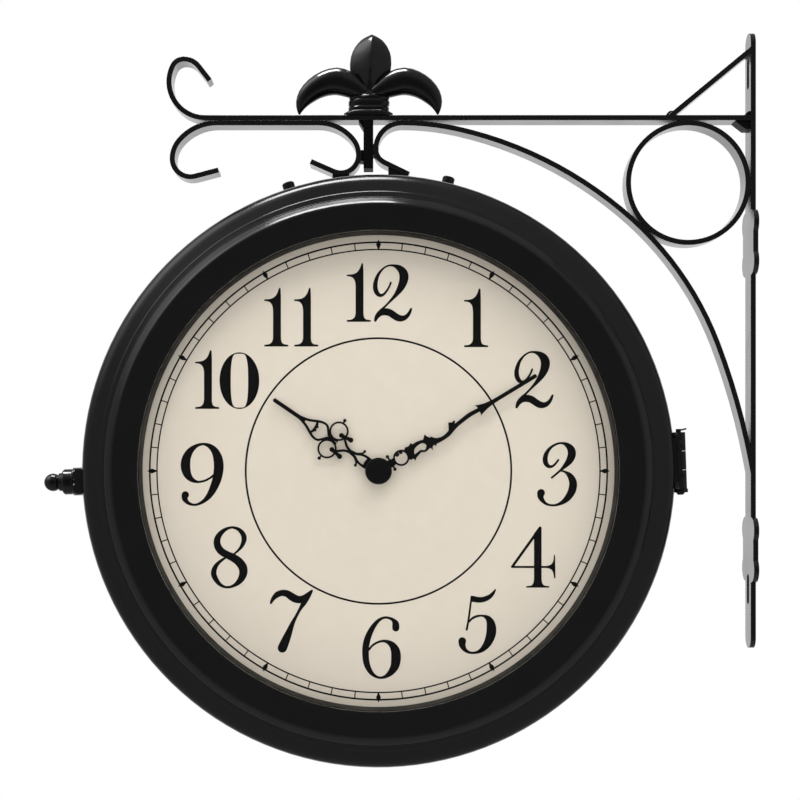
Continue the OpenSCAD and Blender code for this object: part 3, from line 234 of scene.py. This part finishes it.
LOOKS = {"bracket_paint": BRACKET, "case_paint": CASE, "hand_paint": HAND, "dial_enamel": CREAM,
         "glass": PANE, "gasket": RUBBER, "zinc_steel": ZINC, "turned_brass": BRASS,
         "movement_plastic": MOULDED, "set_plastic": WHEEL, "battery_sleeve": SLEEVE}

# Nodes whose paint differs from the rest of their slot; the post, gusset and weld beads get the
# painted-shade copy of the bracket enamel
OWN_LOOKS = {"front_spacer": INNER, "rear_spacer": INNER, "hanger_post": SHADED_COPY,
             "corner_gusset": SHADED_COPY, "weld_beads": SHADED_COPY, "fleur_finial": GLOSSY,
             "latch_knob": GLOSSY}


# Smooth shading and small rounded edges for the carried-over nodes

WELD_REACH = 1e-6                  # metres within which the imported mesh's points are one
SMOOTH_UNDER = math.radians(32)    # faces that meet at less than this are shaded as one surface
ROUND_OVER = math.radians(50)      # edges sharper than this are rounded
BAR_EDGE, STRIP_EDGE, POST_EDGE = 0.25, 0.3, 0.4
EDGES = {"top_rail": BAR_EDGE, "lower_scroll": BAR_EDGE, "arch_brace": BAR_EDGE,
         "corner_ring": BAR_EDGE, "diagonal_brace": BAR_EDGE, "wall_strip": STRIP_EDGE,
         "left_foot": STRIP_EDGE, "right_foot": STRIP_EDGE, "corner_gusset": STRIP_EDGE,
         "hanger_post": POST_EDGE}


def shading_group():
    """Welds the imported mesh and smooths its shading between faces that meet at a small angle."""
    g = bpy.data.node_groups.new("soft_shading", "GeometryNodeTree")
    g.interface.new_socket("Geometry", in_out="INPUT", socket_type="NodeSocketGeometry")
    g.interface.new_socket("Geometry", in_out="OUTPUT", socket_type="NodeSocketGeometry")
    start, end = g.nodes.new("NodeGroupInput"), g.nodes.new("NodeGroupOutput")
    weld = g.nodes.new("GeometryNodeMergeByDistance")
    weld.inputs["Distance"].default_value = WELD_REACH
    smooth = g.nodes.new("GeometryNodeSetShadeSmooth")
    smooth.domain = "FACE"
    crease = g.nodes.new("GeometryNodeSetShadeSmooth")
    crease.domain = "EDGE"
    crease.inputs["Shade Smooth"].default_value = False
    angle = g.nodes.new("GeometryNodeInputMeshEdgeAngle")
    large = g.nodes.new("FunctionNodeCompare")
    large.data_type, large.operation = "FLOAT", "GREATER_THAN"
    large.inputs[1].default_value = SMOOTH_UNDER
    for a, b in ((start.outputs[0], weld.inputs["Geometry"]),
                 (weld.outputs[0], smooth.inputs["Geometry"]),
                 (smooth.outputs[0], crease.inputs["Geometry"]),
                 (angle.outputs["Unsigned Angle"], large.inputs[0]),
                 (large.outputs[0], crease.inputs["Selection"]),
                 (crease.outputs[0], end.inputs[0])):
        g.links.new(a, b)
    return g


SHADING = shading_group()


def soften(obj, edge_mm=0.0):
    """Gives a piece smooth shading, and rounds its edges by edge_mm."""
    shade = obj.modifiers.new("soft_shading", "NODES")
    shade.node_group = SHADING
    if edge_mm:
        edges = obj.modifiers.new("edges", "BEVEL")
        edges.width = edge_mm * MM
        edges.segments = 2
        edges.limit_method = "ANGLE"
        edges.angle_limit = ROUND_OVER
        edges.miter_outer = "MITER_ARC"
    normals = obj.modifiers.new("normals", "WEIGHTED_NORMAL")
    normals.keep_sharp = True


slots = {s["node"]: s["material_slot"] for s in frame["record"]["subparts"]}
for name, obj in frame["nodes"].items():
    obj.data.materials.clear()
    obj.data.materials.append(OWN_LOOKS.get(name) or LOOKS[slots[name]])
    soften(obj, EDGES.get(name, 0.0))


# Drawn shapes on the dial, in drawing units from its centre, x to the viewer's right and y up.
# ONE and TWO start at their own corner and are used several times.

def spline(points, steps=6):
    """Points on a smooth curve through the given ones, each a tuple of numbers."""
    out = []
    last = len(points) - 1
    for i in range(last):
        a, b, c, d = (points[max(i - 1, 0)], points[i], points[i + 1], points[min(i + 2, last)])
        for k in range(steps):
            t = k / steps
            out.append(tuple(0.5 * (2 * q + (r - p) * t + (2 * p - 5 * q + 4 * r - s) * t * t
                                    + (3 * q - p - 3 * r + s) * t ** 3)
                             for p, q, r, s in zip(a, b, c, d)))
    out.append(tuple(points[last]))
    return out


def stroke(points, steps=6, caps=True):
    """Quads along a pen line whose points are (x, y, half width), with round ends."""
    line = spline(points, steps)
    left, right = [], []
    for i, (x, y, w) in enumerate(line):
        ax, ay, _ = line[max(i - 1, 0)]
        bx, by, _ = line[min(i + 1, len(line) - 1)]
        run = math.hypot(bx - ax, by - ay) or 1
        nx, ny = -(by - ay) / run, (bx - ax) / run
        left.append((x + nx * w, y + ny * w))
        right.append((x - nx * w, y - ny * w))
    quads = [[left[i], right[i], right[i + 1], left[i + 1]] for i in range(len(line) - 1)]
    if caps:
        quads += [disc(*line[0]), disc(*line[-1])]
    return quads


def disc(x, y, r, n=20):
    return [(x + r * math.cos(math.tau * k / n), y + r * math.sin(math.tau * k / n))
            for k in range(n)]


def outline(*runs):
    """One closed shape from smooth runs that meet at corners."""
    points = []
    for run in runs:
        points += spline(run, 5)[:-1] if len(run) > 2 else run[:-1]
    return [points]


def ring(r, half, n=240):
    """A thin circle as quads."""
    def at(i, radius):
        a = math.tau * i / n
        return (radius * math.sin(a), radius * math.cos(a))
    return [[at(i, r - half), at(i, r + half), at(i + 1, r + half), at(i + 1, r - half)]
            for i in range(n)]


def shifted(shapes, dx, dy):
    return [[(x + dx, y + dy) for x, y in s] for s in shapes]


ONE = outline(
    [(0.4, 47.3), (3.5, 47.4), (7.5, 48.1), (11, 50.3), (13.5, 54.2), (14.8, 58.2)],
    [(14.8, 58.2), (15.6, 58.9), (16.5, 58.2)],
    [(16.5, 58.2), (16.9, 50)], [(16.9, 50), (16.9, 8.5)],
    [(16.9, 8.5), (17.5, 4.8), (19.6, 2.6), (24.0, 1.9)],
    [(24.0, 1.9), (24.3, 1.0), (24.0, 0.1)],
    [(24.0, 0.1), (0.4, 0.1)],
    [(0.4, 0.1), (0.1, 1.0), (0.4, 1.9)],
    [(0.4, 1.9), (5.0, 2.5), (7.9, 4.8), (9.0, 8.5)],
    [(9.0, 8.5), (9.0, 36)],
    [(9.0, 36), (8.2, 41), (6, 44.2), (3, 45.4), (0.4, 45.6)],
    [(0.4, 45.6), (0.0, 46.5), (0.4, 47.3)])

TWO = (stroke([(18.4, 39.2, 1.0), (16.8, 35.2, 1.0), (13.7, 30.2, 1.1), (10.6, 27.2, 1.4),
               (7.3, 26.7, 1.8), (4.4, 29.3, 2.3), (2.9, 34, 2.4), (3.3, 40, 2.1),
               (6.0, 47.4, 1.5), (10.8, 53.3, 1.0), (16, 56.2, 0.9), (21, 56.3, 1.3),
               (26.4, 54.1, 2.9), (30.2, 50.2, 4.2), (31.6, 45.5, 4.6), (30.6, 39.5, 4.2),
               (27.7, 33.2, 3.3), (23.2, 26.8, 2.0), (17.6, 20.6, 1.2), (12.4, 15.2, 1.1),
               (8.2, 11.2, 1.6)])
       + stroke([(2.9, 1.4, 1.3), (4.5, 5.2, 2.2), (8.1, 8.9, 3.0), (13.1, 10.1, 3.6),
                 (17.8, 9.0, 3.6), (22.2, 6.0, 3.5), (26.2, 3.9, 3.4), (30.4, 3.6, 2.8),
                 (34.3, 5.6, 2.1), (37.1, 9.2, 1.6), (38.7, 13, 1.1)]))

THREE = (stroke([(179.8, 11, 1.0), (176.7, 7.1, 1.1), (173.4, 4.6, 1.3), (169.9, 4.8, 1.9),
                 (167.2, 8, 2.5), (166.6, 12.8, 2.5), (168.4, 18.6, 2.0), (172.6, 23.8, 1.4),
                 (178.4, 27.1, 1.1), (184, 27.8, 1.2), (188.9, 25.7, 2.6), (192.4, 21.6, 3.8),
                 (193.2, 16.6, 4.1), (191.2, 11, 3.6), (187.4, 6.1, 2.5), (183.4, 2.1, 1.4),
                 (179.4, -1.5, 1.1), (173.3, -6.6, 1.1)])
         + stroke([(182, 0.4, 0.9), (186.6, -1.0, 1.2), (191, -4.4, 2.7), (193.9, -9.5, 3.7),
                   (194.5, -14.8, 4.0), (192.5, -21.6, 3.8), (188, -28, 3.0), (182.3, -32.2, 1.8),
                   (175.3, -34.3, 1.1), (168.4, -33.2, 1.3), (164, -29.5, 2.1), (162, -25.4, 3.1),
                   (162.5, -21.9, 3.9)]))

FOUR = (outline([(160.2, -56.2), (161.7, -55.3), (163.0, -56.6)], [(163.0, -56.6), (163.0, -108)],
                [(163.0, -108), (163.7, -112), (165.9, -114.4), (170.4, -115)],
                [(170.4, -115), (170.9, -115.8), (170.4, -116.6)],
                [(170.4, -116.6), (147.9, -116.6)],
                [(147.9, -116.6), (147.4, -115.8), (147.9, -115)],
                [(147.9, -115), (152.4, -114.4), (154.7, -112), (155.4, -108)],
                [(155.4, -108), (155.4, -62.6)], [(155.4, -62.6), (160.2, -56.2)])
        + [[(160.4, -56.0), (132.4, -95.2), (132.5, -96.6), (134.5, -96.8), (162.0, -58.6)]]
        + stroke([(133.4, -95.9, 1.05), (173, -95.9, 1.05)], 1)
        + outline([(168.5, -94.9), (172.6, -93.2), (174.7, -89.6), (175.3, -84.4)],
                  [(175.3, -84.4), (175.9, -83.7), (176.5, -84.4)],
                  [(176.5, -84.4), (176.9, -106.6)],
                  [(176.9, -106.6), (176.2, -107.4), (175.4, -106.6)],
                  [(175.4, -106.6), (174.6, -101.8), (172.6, -98.5), (168.5, -96.9)],
                  [(168.5, -96.9), (168.5, -94.9)]))

FIVE = (stroke([(94.2, -127.7, 3.0), (98.6, -128.6, 2.9), (103.6, -128.6, 2.7),
                (108.6, -127.0, 2.5), (112.5, -124.4, 2.0), (115.2, -121.2, 1.4),
                (116.8, -118.7, 0.8)], 5, caps=False)
        + [disc(116.8, -118.7, 0.8), [(92.4, -124.4), (92.0, -131), (94.4, -130.8), (95.4, -125.0)]]
        + stroke([(93.0, -125.6, 0.9), (91.3, -139, 1.0), (89.8, -150, 1.0), (88.2, -158.5, 1.1)])
        + stroke([(90.4, -150.6, 1.0), (94.1, -147.1, 1.2), (98.6, -145.1, 1.2),
                  (104, -144.7, 1.1), (109, -146.9, 2.6), (112, -151.7, 4.1), (112.9, -158.4, 4.9),
                  (111.8, -165.5, 4.7), (108.5, -172.9, 3.8), (103.6, -178.5, 2.5),
                  (97.7, -181.4, 1.4), (91.3, -181.5, 1.3), (86.4, -178.6, 2.1), (83.8, -174, 3.2),
                  (83.7, -170, 3.9)]))

SIX = stroke([(17.3, -156.8, 3.6), (17.0, -152.4, 3.3), (14.6, -149, 1.9), (11.3, -147.2, 1.4),
              (7.4, -146.4, 1.2), (2.8, -147.6, 1.4), (-2.2, -151.6, 2.0), (-7, -158.5, 2.7),
              (-10.6, -166.5, 3.2), (-12.6, -175, 3.4), (-12.9, -184, 3.3), (-11.8, -192.5, 3.1),
              (-8.7, -199.6, 2.5), (-4.4, -204.3, 1.7), (1.4, -206.6, 1.2), (7.4, -205.2, 1.9),
              (12.5, -201.0, 3.2), (16.3, -195, 4.3), (17.5, -187.5, 4.9), (17.0, -180.2, 4.6),
              (14.2, -174.6, 3.5), (9.9, -171.2, 2.2), (4.8, -169.9, 1.3), (-1.0, -171.3, 1.1),
              (-6.2, -174.6, 1.1), (-9.2, -178.4, 1.0)])

SEVEN = (stroke([(-107.5, -131.8, 1.2), (-105.4, -127.8, 2.0), (-101.4, -123.7, 2.9),
                 (-96.5, -121.9, 3.1), (-91.4, -122.6, 3.5), (-87, -125.5, 3.9),
                 (-82.5, -127.9, 3.9), (-77.8, -128.4, 3.6), (-73.4, -126.5, 3.2),
                 (-69.5, -122.8, 2.2), (-66.7, -119.8, 1.3)])
         + stroke([(-67.4, -121, 1.5), (-70.5, -125.8, 2.2), (-74.6, -131.8, 2.6),
                   (-77.9, -137.2, 1.7), (-81.8, -144.3, 1.5), (-86.0, -152.5, 2.2),
                   (-89.8, -162, 3.4), (-93.6, -171, 4.4), (-96.1, -176.9, 4.7)]))

EIGHT = (stroke([(-146, -56.2, 1.1), (-151.6, -57.7, 1.6), (-157.3, -61.8, 2.4),
                 (-160.9, -67.6, 3.2), (-161, -74.2, 3.6), (-157.4, -80, 3.7),
                 (-151.6, -83.6, 3.7), (-145.2, -86.7, 4.0), (-139.2, -91.1, 4.3),
                 (-135.4, -97.2, 4.4), (-135.6, -104, 3.9), (-139.2, -110.3, 2.8),
                 (-145, -114.7, 1.6), (-151.5, -116.2, 1.2), (-157.6, -114, 1.7),
                 (-162.3, -108.7, 2.5), (-164.7, -102.6, 2.8), (-163.4, -96.6, 2.4),
                 (-159.6, -91.5, 1.7), (-153.2, -86.8, 1.1)])
         + stroke([(-146, -56.2, 1.1), (-140.2, -58.1, 1.8), (-135.6, -62.8, 2.5),
                   (-134.3, -68.2, 2.6), (-136.4, -74.5, 1.9), (-140.2, -79.4, 1.2),
                   (-144.2, -82.8, 1.0)]))

NINE = (stroke([(-175, 27.1, 1.2), (-181.2, 25.5, 1.7), (-187.5, 20.8, 3.1), (-191.8, 13.4, 4.3),
                (-192.9, 5, 4.8), (-191.2, -2.8, 4.1), (-187, -8.3, 2.6), (-181, -10.8, 1.3),
                (-174.6, -10, 1.1), (-169, -7.4, 1.1), (-164.6, -4, 1.1)])
        + stroke([(-175, 27.1, 1.2), (-169, 25.1, 2.3), (-163.4, 19.7, 3.7), (-160.3, 11.6, 4.7),
                  (-159.7, 3, 4.9), (-161.2, -7, 4.6), (-164.9, -17, 3.9), (-169.8, -25.3, 2.8),
                  (-176, -31, 1.7), (-183.2, -33.8, 1.2), (-189.8, -32.2, 1.7),
                  (-193.5, -27.8, 2.8), (-193.1, -23.9, 3.7)]))


def zero():
    """Heavy sides with straight inner walls, and hairlines above and below."""
    def power(v, e):
        return math.copysign(abs(v) ** e, v)
    (outer_x, outer_y), (inner_x, inner_y) = (19.9, 28.3), (8.7, 26.9)
    across, up = 0.42, 0.8   # below 1 they square the opening
    quads, n = [], 72
    def at(i):
        a = math.tau * i / n
        c, s = math.cos(a), math.sin(a)
        return (outer_x * c, outer_y * s), (inner_x * power(c, across), inner_y * power(s, up))
    for i in range(n):
        (o0, i0), (o1, i1) = at(i), at(i + 1)
        quads.append([o0, o1, i1, i0])
    return shifted(quads, -139, 90.3)


# Numbers 1 to 12 in this order
FIGURES = (shifted(ONE, 85.4, 123.7) + shifted(TWO, 135.2, 62.4) + THREE + FOUR + FIVE + SIX
           + SEVEN + EIGHT + NINE + shifted(ONE, -183.4, 62) + zero()
           + shifted(ONE, -114.4, 124.3) + shifted(ONE, -84.4, 124.3)
           + shifted(ONE, -31.9, 149) + shifted(TWO, -6.1, 149))


# Radii of the track's two circles and of the thin circle on the dial, with half their line widths
TRACK_OUTER, TRACK_INNER, DIAL_CIRCLE = (228.6, 0.85), (221.4, 0.68), (132.7, 0.95)
TICK_HALF = 0.55
DIAMOND = (220.4, 226.4, 231.4)   # inner tip, widest place and outer tip of the five minute marks
DIAMOND_HALF = 2.5


def minute_track():
    shapes = ring(*TRACK_OUTER) + ring(*TRACK_INNER) + ring(*DIAL_CIRCLE)
    tip, middle, top = DIAMOND
    for i in range(60):
        a = math.tau * i / 60
        s, c = math.sin(a), math.cos(a)
        def at(r, w):
            return (r * s + w * c, r * c - w * s)
        if i % 5:
            inner, outer = TRACK_INNER[0], TRACK_OUTER[0]
            shapes.append([at(inner, -TICK_HALF), at(inner, TICK_HALF),
                           at(outer, TICK_HALF), at(outer, -TICK_HALF)])
        else:
            shapes.append([at(tip, 0), at(middle, DIAMOND_HALF),
                           at(top, 0), at(middle, -DIAMOND_HALF)])
    return shapes


# Meshes

def add_object(name, data):
    obj = bpy.data.objects.new(name, data)
    bpy.context.collection.objects.link(obj)
    return obj


def make(name, verts, faces, material):
    mesh = bpy.data.meshes.new(name)
    mesh.from_pydata([tuple(v) for v in verts], [], faces)
    mesh.validate()
    mesh.materials.append(material)
    mesh.update()
    return add_object(name, mesh)


# For delaunay_2d_cdt: give all triangles, and take points nearer than this as one
ALL_TRIANGLES, ONE_POINT = 0, 1e-4


def union(shapes):
    """Triangles that cover the union of flat shapes, which may overlap."""
    coords, loops = [], []
    for shape in shapes:
        area = sum(a[0] * b[1] - b[0] * a[1] for a, b in zip(shape, shape[1:] + shape[:1]))
        shape = shape if area > 0 else shape[::-1]
        loops.append(list(range(len(coords), len(coords) + len(shape))))
        coords += [Vector(p) for p in shape]
    points, _, tris, _, _, origin = delaunay_2d_cdt(coords, [], loops, ALL_TRIANGLES, ONE_POINT)
    return points, [tuple(t) for t, source in zip(tris, origin) if source]


def slab(name, shapes, thick, place, material):
    """A closed plate of the shapes' union. place takes a drawn point and a height over the dial."""
    points, tris = union(shapes)
    used = sorted({i for t in tris for i in t})
    index = {p: i for i, p in enumerate(used)}
    n = len(used)
    verts = [place(points[p].x, points[p].y, h) for h in (0, thick) for p in used]
    faces, border = [], {}
    for t in tris:
        a, b, c = (index[i] for i in t)
        faces += [(c, b, a), (a + n, b + n, c + n)]
        for e in ((a, b), (b, c), (c, a)):
            if (e[1], e[0]) in border:
                del border[(e[1], e[0])]
            else:
                border[e] = True
    faces += [(a, b, b + n, a + n) for a, b in border]
    return make(name, verts, faces, material)


def on_dial(side):
    """Place of a drawn point on the front dial (side 1) or the rear dial (side -1)."""
    def place(x, y, h):
        return (CLOCK.x + side * x * PX * MM, -side * (DIAL_H + h) * MM, CLOCK.z + y * PX * MM)
    return place


SIDES = (("front", 1, "door"), ("rear", -1, "housing"))
for word, side, body in SIDES:
    for name, shapes in (("figures", FIGURES), ("minute_track", minute_track())):
        piece = slab(f"{word}_{name}", shapes, INK_T, on_dial(side), INK)
        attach(piece, body)


# Bezels. Each stands in for the solid one, with its ovolo sloping evenly into a shallower groove.
# Points of the section are pairs in mm: distance from the dial's axis, and height over the middle
# of the housing.

OVOLO, OVOLO_R, OVOLO_INNER_R = (169.5, 43.8), 6.2, 3.7   # middle and radii of the solid's ovolo
OVOLO_FROM = (169.3, 43.7)        # the ovolo's points lie beyond this in both directions
# The ovolo's outer points here, from the groove to the front band
SLOPE = [(174.9, 43.0), (174.4, 44.25), (173.5, 45.2), (172.5, 46.26), (171.4, 47.43),
         (170.2, 48.7), (169.4, 49.25), (168.5, 49.6)]
# Points beside the ovolo, in the solid and here: end of the band, foot of the groove, inner wall
BESIDE = [((168.9, 49.7), (167.8, 49.5)), ((175.7, 39.5), (175.4, 40.5)),
          ((173.2, 37.0), (172.6, 37.0))]
FILLET_FROM, FILLET_TO, FILLET_OVER = 178.8, 181, 37.6    # where the fillet of the shoulder lies
DRAW_IN = 1.3                     # how far the fillet and the ovolo's inner side move
SAME_POINT, SAME_RADIUS = 0.3, 0.15   # how near a point has to be to count as one of these


def moulded(r, h):
    """Place here of a point of the solid bezel's section."""
    for old, new in BESIDE:
        if math.dist((r, h), old) < SAME_POINT:
            return new
    if r > OVOLO_FROM[0] and h > OVOLO_FROM[1]:
        reach = math.dist((r, h), OVOLO)
        if abs(reach - OVOLO_R) < SAME_RADIUS:
            turn = math.degrees(math.atan2(h - OVOLO[1], r - OVOLO[0]))
            return SLOPE[round(turn / 90 * (len(SLOPE) - 1))]
        if abs(reach - OVOLO_INNER_R) < SAME_RADIUS:
            return r - DRAW_IN, h - DRAW_IN
    return (r - DRAW_IN, h) if FILLET_FROM < r < FILLET_TO and h > FILLET_OVER else (r, h)


def bezel(word, side, body):
    """Copy of the solid bezel with the points of its section moved."""
    source = frame["nodes"][f"{word}_bezel"]
    mesh = source.data.copy()
    for v in mesh.vertices:
        p = source.matrix_world @ v.co
        out = Vector((p.x - CLOCK.x, 0, p.z - CLOCK.z))
        r, h = moulded(out.length / MM, -side * p.y / MM)
        out = out.normalized() * (r * MM)
        v.co = (CLOCK.x + out.x, -side * h * MM, CLOCK.z + out.z)
    obj = add_object(f"{word}_bezel_moulding", mesh)
    soften(obj)
    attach(obj, body)
    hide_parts(f"{word}_bezel")


for word, side, body in SIDES:
    bezel(word, side, body)


# Camera

PHOTO = 800                           # width and height of the photograph in pixels
SHIFT = (21.5 / PHOTO, 71 / PHOTO)    # from the dial's axis to the middle of the photograph
LENS, SENSOR = 67.7, 36               # mm
CAMERA_Y = -1.0

camera = bpy.data.cameras.new("camera")
camera.sensor_width = SENSOR
camera.lens = LENS
camera.shift_x, camera.shift_y = SHIFT
view = add_object("camera", camera)
view.location = (CLOCK.x, CAMERA_Y, CLOCK.z)
view.rotation_euler = (math.radians(90), 0, 0)
bpy.context.scene.camera = view


# Lamps: one small and one broad one before each dial, and a long one overhead, the only one that
# the glossy paint mirrors

AIM = (-0.25, 0, -0.09)
TOP_X, TOP_Y = -0.52, 0.02


def lamp(name, place, target, size, power, size_y=None, mirrored=False):
    light = bpy.data.lights.new(name, "AREA")
    light.energy = power
    light.shape = "RECTANGLE"
    light.size = size
    light.size_y = size_y or size
    obj = add_object(name, light)
    obj.location = place
    obj.rotation_euler = (Vector(target) - Vector(place)).to_track_quat("-Z", "Y").to_euler()
    obj.visible_glossy = mirrored


KEY_SIZE, KEY_POWER = 0.35, 3.5
SOFT_SIZE, SOFT_POWER = 0.9, 9.5
lamp("key", (-0.62, -1.1, 1.1), AIM, KEY_SIZE, KEY_POWER)
lamp("soft", (0.2, -0.75, 1.2), AIM, SOFT_SIZE, SOFT_POWER)
lamp("top", (TOP_X, TOP_Y, 1.35), (TOP_X, TOP_Y, 0), 0.7, 18.0, 0.4, mirrored=True)
lamp("back_key", (0.12, 1.1, 1.1), AIM, KEY_SIZE, KEY_POWER)
lamp("back_soft", (-0.7, 0.75, 1.2), AIM, SOFT_SIZE, SOFT_POWER)


# World. Each strength changes with the y of the direction, or with how near the direction is to
# BRIGHT_SIDE. It is written as start, end, strength up to the start and strength past the end.

WHITE = (1, 1, 1, 1)
DIFFUSE = (0.7, 0.97, 0.48, 1.9)          # over y without its sign
ROOM_BEFORE = (-1.0, -0.6, 0.035, 0.25)   # over y: the dim room before the clock
ROOM_BEHIND = (0.55, 0.93, 0.0, 0.75)     # over y: the white backdrop behind it
BRIGHT_SIDE = (-0.66, -0.1, 0.745)        # the upper left, seen from before the clock
SIDE_WIDE = (0.78, 0.97, 0.0, 0.9)
SIDE_NARROW = (0.94, 0.985, 0.0, 1.2)


def surroundings():
    """White to the camera. Diffuse light comes mostly from before and behind the two dials, and
    the glossy paint sees a white backdrop behind the clock and a dim room before it."""
    world = bpy.data.worlds.new("studio")
    world.use_nodes = True
    bpy.context.scene.world = world
    nodes, links = world.node_tree.nodes, world.node_tree.links

    def calc(operation, a, b=0.0):
        node = nodes.new("ShaderNodeMath")
        node.operation = operation
        feed(links, node.inputs[0], a)
        feed(links, node.inputs[1], b)
        return node.outputs[0]

    def fade(value, start, end, low, high):
        node = nodes.new("ShaderNodeMapRange")
        node.interpolation_type = "SMOOTHSTEP"
        for key, number in (("From Min", start), ("From Max", end),
                            ("To Min", low), ("To Max", high)):
            node.inputs[key].default_value = number
        links.new(value, node.inputs["Value"])
        return node.outputs["Result"]

    direction = nodes.new("ShaderNodeTexCoord").outputs["Generated"]
    parts = nodes.new("ShaderNodeSeparateXYZ")
    links.new(direction, parts.inputs[0])
    y = parts.outputs["Y"]
    toward = nodes.new("ShaderNodeVectorMath")
    toward.operation = "DOT_PRODUCT"
    toward.inputs[1].default_value = BRIGHT_SIDE
    links.new(direction, toward.inputs[0])
    along = toward.outputs["Value"]
    path = nodes.new("ShaderNodeLightPath").outputs

    diffuse = fade(calc("ABSOLUTE", y), *DIFFUSE)
    room = calc("ADD", fade(y, *ROOM_BEFORE), fade(y, *ROOM_BEHIND))
    side = calc("ADD", fade(along, *SIDE_WIDE), fade(along, *SIDE_NARROW))
    mirrored = calc("MAXIMUM", path["Is Glossy Ray"], path["Is Transmission Ray"])
    strength = calc("ADD", calc("MULTIPLY", mirrored, calc("ADD", room, side)),
                    calc("MULTIPLY", calc("SUBTRACT", 1.0, mirrored), diffuse))
    lit = nodes["Background"]
    lit.inputs["Color"].default_value = WHITE
    links.new(strength, lit.inputs["Strength"])
    white = nodes.new("ShaderNodeBackground")
    white.inputs["Color"].default_value = WHITE
    white.inputs["Strength"].default_value = 1.0
    mix = nodes.new("ShaderNodeMixShader")
    links.new(path["Is Camera Ray"], mix.inputs[0])
    links.new(lit.outputs[0], mix.inputs[1])
    links.new(white.outputs[0], mix.inputs[2])
    links.new(mix.outputs[0], nodes["World Output"].inputs["Surface"])


surroundings()


# Floor

FLOOR_X, FLOOR_Y, FLOOR_Z = (-0.7, 0.2), (-0.4, 0.4), -0.8
FLOOR_GLOW = 0.7                   # share of plain white that the camera sees in the floor


def floor():
    """Pale floor well below the clock, nearly white to the camera and not mirrored."""
    t = Tree("pale_floor")
    t.set(Base_Color=t.mix(t.ramp(t.noise(60, 3), 0, 1), srgb(240, 240, 239), srgb(246, 246, 245)),
          Roughness=0.8, Specular_IOR_Level=0.1)
    glow = t.add("ShaderNodeEmission")
    glow.inputs["Color"].default_value = WHITE
    glow.inputs["Strength"].default_value = 1.0
    path = t.add("ShaderNodeLightPath")
    share = t.add("ShaderNodeMath", operation="MULTIPLY")
    share.inputs[1].default_value = FLOOR_GLOW
    t.link(path.outputs["Is Camera Ray"], share.inputs[0])
    mix = t.add("ShaderNodeMixShader")
    t.link(share.outputs[0], mix.inputs[0])
    t.link(t.shader.outputs[0], mix.inputs[1])
    t.link(glow.outputs[0], mix.inputs[2])
    t.link(mix.outputs[0], t.nodes["Material Output"].inputs["Surface"])
    (x0, x1), (y0, y1) = FLOOR_X, FLOOR_Y
    corners = [(x, y, FLOOR_Z) for x, y in ((x0, y0), (x1, y0), (x1, y1), (x0, y1))]
    obj = make("floor", corners, [(0, 1, 2, 3)], t.mat)
    obj.visible_glossy = False


floor()
bpy.context.scene.view_settings.view_transform = "Standard"
